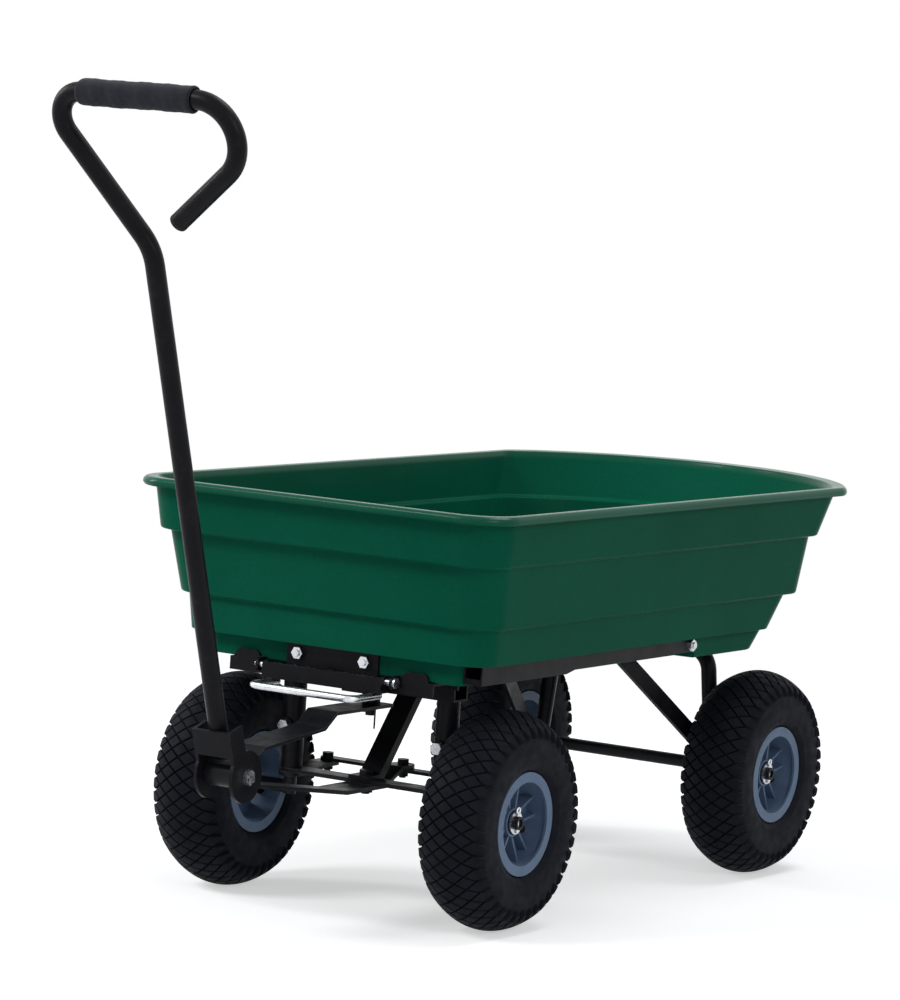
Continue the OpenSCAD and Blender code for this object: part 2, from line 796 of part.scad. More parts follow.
module front_bolster() {
  z0 = z_frame - bolster_h;
  color("#1c1d1f") difference() {
    union() {
      box(-bolster_w / 2, bolster_w / 2, y_bol, y_bol + bolster_l, z_frame - bolster_t, z_frame);
      box(-bolster_w / 2, bolster_w / 2, y_bol, y_bol + bolster_t, z0, z_frame);
      box(-bolster_w / 2, bolster_w / 2, y_bol + bolster_l - bolster_t, y_bol + bolster_l,
        z_spine, z_frame);
      for (s = [0, 1]) mirror([s, 0, 0]) {
        box(tab_x, tab_x + tab_w, y_bol, y_bol + bolster_t, z0, z_frame + tab_h - tab_r);
        box(tab_x + tab_r, tab_x + tab_w - tab_r, y_bol, y_bol + bolster_t, z0, z_frame + tab_h);
        for (x = [tab_x + tab_r, tab_x + tab_w - tab_r])
          translate([x, 0, z_frame + tab_h - tab_r]) ycyl(tab_r, y_bol, y_bol + bolster_t);
        translate([lug_x, y_pin, z_pin]) xcyl(lug_r, 0, lug_t);
        box(lug_x, lug_x + lug_t, y_pin, y_bol + eps, z_pin - lug_r, z_pin + lug_r);
        box(lug_x, tab_x + tab_r, y_bol, y_bol + bolster_t, z0, z_pin + lug_r);
      }
    }
    box(-notch_x, notch_x, y_bol - 1, y_front + tray_t, z0 - 1, z_frame + 1);
    translate([0, y_pin, z_pin]) xcyl(pin_d / 2 + play, -bolster_w, bolster_w);
  }
}

module kingpin_frame() {
  x = king_track / 2;
  color("#1c1d1f") difference() {
    union() {
      box_tube_x(-x - post_d / 2 - 2, x + post_d / 2 + 2, -beam_w / 2, beam_w / 2, z_beam,
        z_beam + beam_h, beam_t);
      for (s = [-1, 1]) {
        translate([s * x, 0, z_post]) cylinder(d = post_d, h = z_beam - z_post + eps);
        translate([s * x, 0, z_beam - post_bolt_drop])
          ycyl(post_d / 3, -post_d / 2 - post_boss, 0);
      }
      translate([0, 0, z_top_plate + yoke_t + end_play])
        cylinder(d = top_boss_d, h = z_beam - z_top_plate - yoke_t - end_play + eps);
    }
    for (s = [-1, 1]) {
      translate([s * x, 0, z_post - 1]) cylinder(d = king_d + 2 * play, h = king_in + 5);
      translate([s * x, 0, z_beam - post_bolt_drop])
        ycyl(bracket_bolt_d / 2 + play, -post_d, -king_d / 4);
    }
    translate([0, 0, z_top_plate]) cylinder(d = top_pin_d + 2 * play, h = z_beam - z_top_plate);
  }
}

module post_bolts() {
  color("silver") for (s = [-1, 1])
    translate([s * king_track / 2, -post_d / 2 - post_boss, z_beam - post_bolt_drop])
      rotate([90, 0, 0]) hex_bolt(bracket_bolt_d, post_d / 2 + post_boss - king_d / 2 - 1,
        bolt_head, 0, 0);
}

module spine_front() {
  color("#1c1d1f") box_tube_y(-spine_w / 2, spine_w / 2, y_bol + bolster_l, -beam_w / 2,
    z_spine - spine_h, z_spine, spine_t);
}

module spine_rear() {
  color("#1c1d1f") difference() {
    box_tube_y(-spine_w / 2, spine_w / 2, beam_w / 2, wheelbase, z_spine - spine_h, z_spine,
      spine_t);
    translate([0, wheelbase, z_arch]) xcyl(arch_d / 2 + 0.2, -spine_w, spine_w);
    box(-spine_w, spine_w, wheelbase - 4, wheelbase + 4, z_spine - spine_h - 1, z_spine + 1);
  }
}

module brace_strap() {
  color("#1c1d1f") box(-strap_l / 2, strap_l / 2, wheelbase - brace_run - strap_w / 2,
    wheelbase - brace_run + strap_w / 2, z_spine, z_spine + strap_t);
}

module centre_strut() {
  z1 = z_spine - spine_h;
  color("#1c1d1f") difference() {
    side_profile(strut_w) polygon([[-strut_foot, z_post], [strut_foot, z_post],
      [strut_run + strut_t, z1], [strut_run - strut_t / 3, z1],
      [strut_foot - strut_t, z_post + steer_t], [-strut_foot, z_post + steer_t]]);
    translate([0, 0, z_post - 1]) cylinder(d = low_pin_d + 2 * play, h = steer_t + 30);
    translate([0, 0, z_post + steer_t]) cylinder(d = low_pin_d * 2.1, h = low_pin_d);
  }
}

module lower_tie_bar() {
  x = king_track / 2;
  color("#3a3c40") translate([0, 0, z_bar]) difference() {
    linear_extrude(low_bar_t) link_2d([-x, 0], [x, 0], low_bar_w);
    for (s = [-1, 1]) translate([s * x, 0, -1])
      cylinder(d = king_d + 2 * play, h = low_bar_t + 2);
    translate([0, 0, -1]) cylinder(d = low_pin_d + 2 * play, h = low_bar_t + 2);
  }
}

module lower_pivot_bolt() {
  grip = z_post + steer_t - z_plate + end_play;
  color("#26272b") translate([0, 0, z_post + steer_t]) {
    hex_bolt(low_pin_d, grip, bolt_head, bolt_head, 2);
    hex_nut(low_pin_d, grip, bolt_head);
  }
}

washer_gap = 0.2;
top_pin_z = z_top_plate - washer_gap - washer_t - cotter_d - end_play - 5;

module upper_pivot_pin() {
  z_cot = z_top_plate - washer_gap - washer_t - end_play - cotter_d / 2;
  color("#26272b") difference() {
    translate([0, 0, top_pin_z]) cylinder(d = top_pin_d, h = z_beam - top_pin_z);
    translate([0, 0, z_cot]) ycyl(cotter_d / 2 + play, -top_pin_d, top_pin_d);
  }
}

module upper_pivot_washer() {
  color("#26272b") translate([0, 0, z_top_plate - washer_gap - washer_t]) difference() {
    cylinder(d = top_boss_d + 2, h = washer_t);
    translate([0, 0, -1]) cylinder(d = top_pin_d + 2 * play, h = washer_t + 2);
  }
}

module upper_pivot_cotter() {
  z_cot = z_top_plate - washer_gap - washer_t - end_play - cotter_d / 2;
  color("#26272b") translate([0, 0, z_cot]) {
    rotate([90, 0, 0]) cotter(cotter_d, 2 * top_pin_d);
    translate([0, top_pin_d - cotter_d / 2, -top_pin_d * 2]) cylinder(d = cotter_d * 0.7,
      h = top_pin_d * 2);
  }
}

// rear frame

module rear_arch() {
  rise = z_arch - z_axle;
  turn = 90 - arch_lean;
  leg = (rise + arch_toe - arch_bend * (1 - cos(turn))) / cos(arch_lean);
  top = 2 * (arch_x + arch_toe * tan(arch_lean) - leg * sin(arch_lean)
    - arch_bend * sin(turn));
  color("#1c1d1f") translate([0, wheelbase, 0]) difference() {
    translate([-arch_x - arch_toe * tan(arch_lean), 0, z_axle - arch_toe])
      rotate([0, arch_lean, 0]) bent_tube([[leg, 0], [arch_bend, -turn], [top, 0],
        [arch_bend, -turn], [leg, 0]], arch_d / 2, arch_wall);
    translate([0, 0, z_axle]) xcyl(axle_d / 2 + play, -track, track);
  }
}

brace_x = arch_x + arch_d / 2 + brace_t / 2 + 1.5;

module brace() {
  a = [brace_x, wheelbase, z_axle];
  b = [brace_tops / 2, wheelbase - brace_run, z_spine];
  v = b - a;
  flat = norm([v[1], v[2]]);
  tilt = atan2(v[2], -v[1]);
  yaw = atan2(-v[0], flat);
  difference() {
    union() {
      translate(a) xcyl(brace_w / 2, -brace_t / 2, brace_t / 2);
      translate(a) rotate([-tilt, 0, 0]) rotate([0, 0, -yaw])
        translate([-brace_t / 2, -norm(v) - brace_w, -brace_w / 2])
          cube([brace_t, norm(v) + brace_w, brace_w]);
    }
    translate(a) xcyl(axle_d / 2 + play, -track, track);
    box(-track, track, 0, wheelbase, z_spine, z_rim);
  }
}

module rear_braces() {
  color("#1c1d1f") {
    brace();
    mirror([1, 0, 0]) brace();
  }
}

module rear_axle() {
  x = track / 2 + axle_end;
  color("#26272b") translate([0, wheelbase, z_axle]) difference() {
    xcyl(axle_d / 2, -x, x);
    xcyl(axle_d / 2 - axle_wall, -x - 1, x + 1);
    for (s = [-1, 1]) translate([s * (track / 2 + cotter_x), 0, -axle_d])
      cylinder(d = cotter_d + 2 * play, h = 2 * axle_d);
  }
}

module axle_washer(x) {
  translate([x, 0, 0]) difference() {
    xcyl(washer_d / 2, 0, washer_t);
    xcyl(axle_d / 2 + play, -1, washer_t + 1);
  }
}

module rear_washers() {
  color("silver") translate([0, wheelbase, z_axle]) for (s = [0, 1]) mirror([s, 0, 0]) {
    axle_washer(track / 2 + washer_in);
    axle_washer(track / 2 - washer_in - washer_t);
  }
}

module rear_cotters() {
  color("silver") for (s = [-1, 1])
    translate([s * (track / 2 + cotter_x), wheelbase, z_axle]) rotate([0, 0, 90])
      cotter(cotter_d, axle_d + 8);
}

// latch

module latch_pin() {
  x = lug_x + lug_t;
  color("silver") translate([0, y_pin, z_pin]) {
    xcyl(pin_d / 2, -x - 3, x + eps);
    xcyl(pin_d * 0.8, x, x + 3);
  }
}

lever_z = z_pin - pin_d / 2 - hook_t - 5;

module release_lever() {
  r = pin_d / 2;
  color("#1c1d1f") difference() {
    union() {
      box(-lever_x, lever_x, y_pin - lever_l, y_pin + lug_r - 2, lever_z - lever_t, lever_z);
      box(-lever_x, lever_x, y_pin - lever_l, y_pin - lever_l + lever_t, lever_z - lever_t,
        z_pin + lever_up);
      for (s = [0, 1]) mirror([s, 0, 0]) {
        translate([lever_x - lever_t, y_pin, z_pin]) xcyl(r + 2 * hook_t, 0, lever_t);
        box(lever_x - lever_t, lever_x, y_pin - r, y_pin + r, lever_z - lever_t, z_pin);
      }
      translate([0, y_pin, z_pin]) xcyl(r + hook_t, -hook_w / 2, hook_w / 2);
      box(-hook_w / 2, hook_w / 2, y_pin - r - hook_t, y_pin, lever_z - lever_t, z_pin);
    }
    translate([0, y_pin, z_pin]) xcyl(r + play, -track, track);
  }
}

module release_pull() {
  z = lever_z - lever_t - pull_d / 2;
  y0 = y_bol - 3;
  leg = y0 - (y_pin - pull_l) - pull_r;
  color("#c9ccd0") translate([-pull_w / 2, y0, z]) rotate([90, 0, 0])
    bent_rod([[leg, 0], [pull_r, -90], [pull_w - 2 * pull_r, 0], [pull_r, -90], [leg, 0]],
      pull_d / 2);
}

// steering

module yoke_top_plate() {
  zt = z_top_plate + yoke_t;
  zs = zt - yoke_step;
  ys = -yoke_flat - yoke_step_l;
  yn = -yoke_l + head_d * 1.5;
  zn = z_head + head_d;
  path = [[top_pin_d * 1.4, zt], [-yoke_flat, zt], [ys, zs], [yn, zn],
    [-yoke_l, z_head + head_d / 6]];
  color("#26272a") difference() {
    side_profile(yoke_w) polygon(concat(path,
      [for (i = [len(path) - 1:-1:0]) path[i] - [0, yoke_t]]));
    translate([0, 0, z_top_plate - 20]) cylinder(d = top_pin_d + 4 * play, h = 60);
    translate([0, -yoke_l, z_head]) xcyl(head_d / 2 + 0.2, -yoke_w, yoke_w);
    box(-yoke_w, yoke_w, -yoke_l - head_d, -yoke_l + head_d / 4, z_head - head_d, z_head + head_d);
  }
}

// heights of the tie rod and of the yoke's tail above it
rod_z = z_arm_top + arm_rise + end_play;
z_tail = rod_z + rod_t + end_play;

// flat arm along +Y from a pivot, level at both ends and raised between them
module cranked_arm(l, w, rise) {
  y1 = w;
  y2 = l - 0.8 * w;
  z0 = z_plate;
  z1 = z_plate + rise;
  intersection() {
    translate([0, 0, z0 - 1]) linear_extrude(rise + steer_t + 2) link_2d([0, 0], [0, l], w);
    side_profile(2 * w) polygon([[-w, z0], [y1, z0], [y2, z1], [l + w, z1],
      [l + w, z1 + steer_t], [y2, z1 + steer_t], [y1, z0 + steer_t], [-w, z0 + steer_t]]);
  }
}

module yoke_bottom_plate() {
  z1 = z_arm_top;
  path = [[arm_w / 2, z1], [-yoke_low, z1], [-yoke_l, z_head - head_d / 4]];
  color("#3a3c40") difference() {
    union() {
      side_profile(yoke_w) polygon(concat(path,
        [for (i = [len(path) - 1:-1:0]) path[i] - [0, steer_t]]));
      cranked_arm(arm_l, arm_w, z_tail - z_plate);
    }
    translate([0, 0, z_plate - 1]) cylinder(d = low_pin_d + 4 * play, h = steer_t + 2);
    translate([0, arm_l, z_tail - 1]) cylinder(d = rod_bolt_d + 4 * play, h = steer_t + 2);
    translate([0, -yoke_l, z_head]) xcyl(head_d / 2 + 0.2, -yoke_w, yoke_w);
    box(-yoke_w, yoke_w, -yoke_l - head_d, -yoke_l + head_d / 4, z_head - head_d, z_head + head_d);
  }
}

module yoke_head() {
  color("#26272a") translate([0, -yoke_l, z_head]) difference() {
    xcyl(head_d / 2, -head_l / 2, head_l / 2);
    xcyl(handle_bolt_d / 2 + play, -head_l, head_l);
  }
}

module handle_bolt() {
  x = cheek_gap / 2 + cheek_t;
  color("silver") translate([x + end_play, -yoke_l, z_head]) rotate([0, 90, 0]) {
    hex_bolt(handle_bolt_d, 2 * x + 2 * end_play, bolt_head, bolt_head, 2);
    hex_nut(handle_bolt_d, 2 * x + 2 * end_play, bolt_head);
  }
}

module tie_rod() {
  x = king_track / 2;
  color("#3a3c40") translate([0, arm_l, rod_z]) difference() {
    linear_extrude(rod_t) link_2d([-x, 0], [x, 0], rod_w);
    for (k = [-1, 0, 1]) translate([k * x, 0, -1])
      cylinder(d = rod_bolt_d + 2 * play, h = rod_t + 2);
  }
}

module tie_rod_bolts() {
  grip = rod_t + steer_t + 2 * end_play;
  color("#26272b") for (k = [-1, 0, 1])
    translate([k * king_track / 2, arm_l, k == 0 ? z_tail + steer_t + end_play : rod_z + rod_t]) {
      hex_bolt(rod_bolt_d, grip, bolt_head, bolt_head, 2);
      hex_nut(rod_bolt_d, grip, bolt_head);
    }
}

module knuckle() {
  x = king_track / 2;
  xe = track / 2 + axle_end;
  xc = track / 2 - washer_in;
  difference() {
    union() {
      translate([x, 0, z_axle - axle_d / 2]) cylinder(d = king_d, h = z_post + king_in - z_axle
        + axle_d / 2);
      translate([0, 0, z_axle]) {
        xcyl(axle_d / 2, x, xe);
        xcyl(washer_d / 2, xc - 2 * washer_t, xc);
      }
      translate([x, 0, 0]) cranked_arm(arm_l, arm_w, arm_rise);
    }
    translate([x, arm_l, z_plate + arm_rise - 1]) cylinder(d = rod_bolt_d + 4 * play,
      h = steer_t + 2);
    translate([track / 2 + cotter_x, 0, z_axle - axle_d])
      cylinder(d = cotter_d + 2 * play, h = 2 * axle_d);
    translate([0, 0, z_axle]) xcyl(axle_d / 2 - axle_wall, xe - axle_tail / 2, xe + 1);
  }
}

module knuckle_right() {
  color("#26272b") knuckle();
}

module knuckle_left() {
  color("#26272b") mirror([1, 0, 0]) knuckle();
}

module washer_fr() {
  color("silver") translate([0, 0, z_axle]) axle_washer(track / 2 + washer_in);
}

module washer_fl() {
  color("silver") mirror([1, 0, 0]) translate([0, 0, z_axle]) axle_washer(track / 2 + washer_in);
}

module cotter_fr() {
  color("silver") translate([track / 2 + cotter_x, 0, z_axle]) rotate([0, 0, 90])
    cotter(cotter_d, axle_d + 8);
}

module cotter_fl() {
  color("silver") translate([-track / 2 - cotter_x, 0, z_axle]) rotate([0, 0, 90])
    cotter(cotter_d, axle_d + 8);
}

// pull handle, drawn upright about its pivot and then leaned forward

module leaned() {
  translate([0, -yoke_l, z_head]) rotate([handle_lean, 0, 0]) children();
}

module handle_clevis() {
  x = cheek_gap / 2;
  y1 = -handle_off + handle_d / 2;
  y0 = -handle_off - handle_d / 2;
  color("#1c1d1f") leaned() difference() {
    union() {
      for (s = [0, 1]) mirror([s, 0, 0]) {
        xcyl(cheek_r, x, x + cheek_t);
        box(x, x + cheek_t, y0 - cheek_t, y1, 0, clevis_l);
      }
      box(-x - eps, x + eps, y0 - cheek_t, y0, handle_base - cheek_t, clevis_l);
      box(-x - eps, x + eps, y0 - eps, y1, handle_base - cheek_t, handle_base);
    }
    xcyl(handle_bolt_d / 2 + play, -track, track);
    translate([0, -handle_off, handle_base]) cylinder(r = handle_d / 2 + play, h = clevis_l);
  }
}

module handle_tube() {
  color("#1c1d1f") leaned() translate([0, -handle_off, handle_base])
    bent_tube([[handle_l1, 0], [handle_r1, handle_a1], [handle_l2, 0],
      [handle_r2, -90 - handle_a1], [handle_l3, 0], [handle_r3, -handle_a3], [handle_l4, 0]],
      handle_d / 2, handle_wall);
}

// middle of the bar that carries the grip, in the handle's own frame
grip_x = -handle_r1 * (1 - cos(handle_a1)) - handle_l2 * sin(handle_a1)
  + handle_r2 * cos(handle_a1) + handle_l3 / 2;
bend3 = [grip_x + handle_l3 / 2, handle_top - handle_r3];
free_dir = [cos(-handle_a3), sin(-handle_a3)];
free_tip = bend3 + handle_r3 * [cos(90 - handle_a3), sin(90 - handle_a3)]
  + handle_l4 * free_dir;

module foam_grip() {
  color("#15171f") leaned() translate([grip_x, -handle_off, handle_top]) difference() {
    xcyl(grip_d / 2, -grip_l / 2, grip_l / 2);
    xcyl(handle_d / 2 + grip_gap, -grip_l, grip_l);
  }
}

module handle_plug() {
  color("#15171f") leaned() translate([free_tip[0], -handle_off, free_tip[1]])
    rotate([0, 90 + handle_a3, 0]) {
      cylinder(d = handle_d, h = cap_h);
      translate([0, 0, -2 * cap_h]) cylinder(r = handle_d / 2 - handle_wall - play,
        h = 2 * cap_h + eps);
    }
}

// wheels, drawn about their middle with +X outward

rows = 5;
lug_share = 0.76;
tread_half = tread_w / 2;
row_w = tread_w / rows;
flat = cos(180 / tread_lugs);

function tread_r(v) = tyre_d / 2 - crown_fall * pow(v / tread_half, 2);
function row_v(k) = -tread_half + k * row_w;
function wheel_pt(v, r, j) = [v, r * sin(180 * j / tread_lugs), r * cos(180 * j / tread_lugs)];

// side of the tyre from the tread's edge round the bead to the middle of the lining, as [v, r]
shoulder_r = tread_r(tread_half) - tread_depth;
flank_r = (flange_d / 2 + bead_gap) / flat;
foot_r = (seat_d / 2 + bead_gap) / flat;
bulge_r = (shoulder_r + flank_r) / 2;
bulge_h = (shoulder_r - flank_r) / 2;
bulge_v = tyre_w / 2 - tread_half + 3;
heel_v = rim_w / 2 - flange_t - bead_gap;

function bulge(a, in) = [tyre_w / 2 - bulge_v + (bulge_v - in) * cos(a), bulge_r
  + (bulge_h - in / 2) * sin(a)];

tyre_side = [bulge(48, 0), bulge(16, 0), bulge(-16, 0), bulge(-48, 0), [heel_v + 0.2, flank_r],
  [heel_v, foot_r], [heel_v - bead_foot, foot_r], bulge(-30, side_wall), bulge(25, side_wall)];
lining_r = tyre_d / 2 - tread_depth - tread_base;
tyre_ring = concat(tyre_side, [[0, lining_r]],
  [for (i = [len(tyre_side) - 1:-1:0]) [-tyre_side[i][0], tyre_side[i][1]]]);

module tyre_body() {
  n = tread_lugs;
  // corners where the grooves cross, row by row
  low = [for (k = [0:rows], i = [0:n - 1]) let (j = 2 * i + (k % 2))
    wheel_pt(row_v(k), tread_r(row_v(k)) - tread_depth, j)];
  // four corners on top of each lug, in the order -round, -across, +round, +across
  top = [for (k = [1:rows - 1], i = [0:n - 1]) let (j = 2 * i + ((k + 1) % 2), v = row_v(k),
      va = v - lug_share * row_w, vb = v + lug_share * row_w)
    each [wheel_pt(v, tread_r(v), j - lug_share), wheel_pt(va, tread_r(va), j),
      wheel_pt(v, tread_r(v), j + lug_share), wheel_pt(vb, tread_r(vb), j)]];
  // rings of the side walls, bead and lining; they keep the phase of the rows they meet
  m = len(tyre_ring);
  side = [for (q = [0:m - 1], i = [0:n - 1])
    wheel_pt(tyre_ring[q][0], tyre_ring[q][1], 2 * i + (rows % 2) * (1 - q / m))];
  b = len(low);
  c = b + len(top);
  lugs = [for (k = [1:rows - 1], i = [0:n - 1]) let (t = b + 4 * ((k - 1) * n + i),
      odd = (k + 1) % 2,
      w = odd == 1 ? k * n + i : k * n + (i + n - 1) % n,
      e = odd == 1 ? k * n + (i + 1) % n : k * n + i,
      s = (k - 1) * n + i, h = (k + 1) * n + i)
    each [[t, t + 1, t + 2], [t, t + 2, t + 3],
      [t, w, s], [t, s, t + 1], [t + 1, s, e], [t + 1, e, t + 2],
      [t + 2, e, h], [t + 2, h, t + 3], [t + 3, h, w], [t + 3, w, t]]];
  edge_a = [for (i = [0:n - 1]) [i, (i + 1) % n, n + i]];
  odd = rows % 2;
  edge_b = [for (i = [0:n - 1]) let (i2 = (i + 1) % n)
    [rows * n + i, (rows - 1) * n + (odd == 1 ? i2 : i), rows * n + i2]];
  ring0 = [for (i = [0:n - 1]) rows * n + i];
  rings = concat([ring0], [for (q = [0:m - 1]) [for (i = [0:n - 1]) c + q * n + i]],
    [[for (i = [0:n - 1]) i]]);
  strips = [for (q = [0:len(rings) - 2], i = [0:n - 1]) let (j = (i + 1) % n)
    each [[rings[q][i], rings[q + 1][j], rings[q + 1][i]], [rings[q][i], rings[q][j],
      rings[q + 1][j]]]];
  polyhedron(concat(low, top, side), concat(lugs, edge_a, edge_b, strips), convexity = 8);
}

module rim_body() {
  seat = seat_d / 2;
  half = rim_w / 2;
  inner = seat - barrel_t;
  depth = half - flange_t;
  x0 = hub_d / 2 - 3;
  x1 = inner + barrel_t / 2;
  root = spoke_root / 2;
  rotate([0, 90, 0]) difference() {
    union() {
      rotate_extrude($fn = 96) polygon([[inner, -depth + 3], [face_d / 2, -depth],
        [face_d / 2, -half], [flange_d / 2, -half], [flange_d / 2, -depth], [seat, -depth],
        [seat, depth], [flange_d / 2, depth], [flange_d / 2, half], [face_d / 2, half],
        [face_d / 2, depth], [inner, depth - 3]]);
      cylinder(d = hub_d, h = hub_len, center = true);
      for (i = [0:spokes - 1]) rotate(i * 360 / spokes) {
        linear_extrude(spoke_t) polygon([[x0, -root], [x1, -spoke_w / 2], [x1, spoke_w / 2],
          [x0, root]]);
        for (s = [0, 1]) mirror([0, s, 0]) linear_extrude(rib_h) polygon([[x0, root - rib_t],
          [x1, spoke_w / 2 - rib_t], [x1, spoke_w / 2], [x0, root]]);
      }
    }
    cylinder(d = axle_d + 4, h = hub_len + 2, center = true);
    for (s = [0, 1]) mirror([0, 0, s]) translate([0, 0, hub_end - bush_l])
      cylinder(d = bush_d + 2 * play, h = bush_l + rib_h);
  }
}

module bush_pair() {
  for (s = [0, 1]) mirror([s, 0, 0]) difference() {
    union() {
      xcyl(bush_d / 2, hub_end - bush_l, hub_end + eps);
      xcyl(bush_d / 2 + 2, hub_end, bush_end);
    }
    xcyl(axle_d / 2 + play, 0, bush_end + 1);
  }
}

// the stem stands on the barrel between two spokes and leans outward
module valve_body() {
  r = seat_d / 2 - barrel_t - bead_gap;
  rotate([180 / spokes - 180, 0, 0]) translate([-spoke_t, 0, 0]) {
    translate([0, 0, r - valve_d / 2]) cylinder(d = valve_d * 1.3, h = valve_d / 2);
    translate([0, 0, r - valve_d / 2]) rotate([0, 128, 0]) cylinder(d = valve_d, h = valve_l);
    translate([0, 0, r - valve_d / 2]) sphere(d = valve_d);
  }
}

module at_wheel(right, rear) {
  translate([0, rear ? wheelbase : 0, z_axle]) mirror([right ? 0 : 1, 0, 0])
    translate([track / 2, 0, 0]) rotate([wheel_turn, 0, 0]) children();
}

module tyre_fl() {
  color("#17181b") at_wheel(false, false) tyre_body();
}

module rim_fl() {
  color("slategray") at_wheel(false, false) rim_body();
}

module bushes_fl() {
  color("#2a2b2e") at_wheel(false, false) bush_pair();
}

module valve_fl() {
  color("#101114") at_wheel(false, false) valve_body();
}

module tyre_fr() {
  color("#17181b") at_wheel(true, false) tyre_body();
}

module rim_fr() {
  color("slategray") at_wheel(true, false) rim_body();
}

module bushes_fr() {
  color("#2a2b2e") at_wheel(true, false) bush_pair();
}

module valve_fr() {
  color("#101114") at_wheel(true, false) valve_body();
}

module tyre_rl() {
  color("#17181b") at_wheel(false, true) tyre_body();
}

module rim_rl() {
  color("slategray") at_wheel(false, true) rim_body();
}

module bushes_rl() {
  color("#2a2b2e") at_wheel(false, true) bush_pair();
}

module valve_rl() {
  color("#101114") at_wheel(false, true) valve_body();
}

module tyre_rr() {
  color("#17181b") at_wheel(true, true) tyre_body();
}

module rim_rr() {
  color("slategray") at_wheel(true, true) rim_body();
}

module bushes_rr() {
  color("#2a2b2e") at_wheel(true, true) bush_pair();
}

module valve_rr() {
  color("#101114") at_wheel(true, true) valve_body();
}

placed() tray();
placed() rail_left();
placed() rail_right();
placed() rail_bolts();
placed() latch_bracket();
placed() bracket_bolts();
placed() hinge_saddles();
placed() saddle_bolts_set();
placed() front_bolster();
placed() kingpin_frame();
placed() spine_front();
placed() spine_rear();
placed() brace_strap();
placed() rear_arch();
placed() rear_braces();
placed() rear_axle();
placed() rear_washers();
placed() rear_cotters();
placed() centre_strut();
placed() lower_tie_bar();
placed() post_bolts();
placed() lower_pivot_bolt();
placed() upper_pivot_pin();
placed() upper_pivot_washer();
placed() upper_pivot_cotter();
placed() latch_pin();
placed() release_lever();
placed() release_pull();
placed() yoke_top_plate();
placed() yoke_bottom_plate();
placed() yoke_head();
placed() handle_bolt();
placed() tie_rod();
placed() tie_rod_bolts();
placed() knuckle_left();
placed() knuckle_right();
placed() washer_fl();
placed() washer_fr();
placed() cotter_fl();
placed() cotter_fr();
placed() handle_clevis();
placed() handle_tube();
placed() handle_plug();
placed() foam_grip();
placed() tyre_fl();
placed() rim_fl();
placed() bushes_fl();
placed() valve_fl();
placed() tyre_fr();
placed() rim_fr();
placed() bushes_fr();
placed() valve_fr();
placed() tyre_rl();
placed() rim_rl();
placed() bushes_rl();
placed() valve_rl();
placed() tyre_rr();
placed() rim_rr();
placed() bushes_rr();
placed() valve_rr();
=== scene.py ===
import math

import bmesh
import bpy
from mathutils import Matrix, Vector


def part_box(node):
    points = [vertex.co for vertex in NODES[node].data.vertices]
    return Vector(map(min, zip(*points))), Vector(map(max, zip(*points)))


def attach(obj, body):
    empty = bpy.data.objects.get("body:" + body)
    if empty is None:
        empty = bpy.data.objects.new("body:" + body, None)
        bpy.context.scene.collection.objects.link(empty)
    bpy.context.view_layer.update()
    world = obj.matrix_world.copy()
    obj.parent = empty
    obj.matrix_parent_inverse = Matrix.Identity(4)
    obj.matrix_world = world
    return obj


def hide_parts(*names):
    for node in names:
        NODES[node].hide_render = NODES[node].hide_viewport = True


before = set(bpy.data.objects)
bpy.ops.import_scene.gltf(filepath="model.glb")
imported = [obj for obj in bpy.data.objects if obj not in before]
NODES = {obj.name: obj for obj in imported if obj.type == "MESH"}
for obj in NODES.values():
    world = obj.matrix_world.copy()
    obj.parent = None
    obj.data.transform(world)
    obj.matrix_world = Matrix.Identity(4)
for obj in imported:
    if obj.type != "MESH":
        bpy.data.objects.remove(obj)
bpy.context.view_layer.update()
WHEELS = ("fl", "fr", "rl", "rr")
MM = 0.001


# small helpers

def srgb(r, g, b):
    """Linear colour of an 8-bit sRGB colour."""
    out = []
    for c in (r, g, b):
        c /= 255.0
        out.append(c / 12.92 if c <= 0.04045 else ((c + 0.055) / 1.055) ** 2.4)
    return (out[0], out[1], out[2], 1.0)


def mesh_object(name, bm, smooth=True):
    """A new object from a bmesh, linked to the scene."""
    mesh = bpy.data.meshes.new(name)
    bm.normal_update()
    bm.to_mesh(mesh)
    bm.free()
    if smooth:
        mesh.polygons.foreach_set("use_smooth", [True] * len(mesh.polygons))
    obj = bpy.data.objects.new(name, mesh)
    bpy.context.scene.collection.objects.link(obj)
    return obj


def skin(bm, rows, closed):
    """Faces between each row of vertices and the next; a closed skin joins the last row to the first."""
    pairs = zip(rows, rows[1:] + rows[:1]) if closed else zip(rows, rows[1:])
    for a, b in pairs:
        for i in range(len(a)):
            j = (i + 1) % len(a)
            bm.faces.new((a[i], a[j], b[j], b[i]))


def round_x(x, r, a):
    """The point at x along the X axis, r from it and turned by a from straight up."""
    return Vector((x, r * math.sin(a), r * math.cos(a)))


# camera: it stands ahead of the cart and to one side, with a long lens; lengths in millimetres

WHEELBASE = 624.0
AZ, EL, ROLL = math.radians(31.5), math.radians(5.2), math.radians(3.7)
AIM_Z, AIM_RIGHT, DISTANCE = 492.2, 78.1, 5600.0
FOCAL_PX, PICTURE_PX, SENSOR = 4738.1, 1000.0, 36.0

# how far the frame's origin lies behind the front axle
axle_lo, axle_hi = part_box("rear_axle")
Y_MID = WHEELBASE - (axle_lo.y + axle_hi.y) / 2 / MM


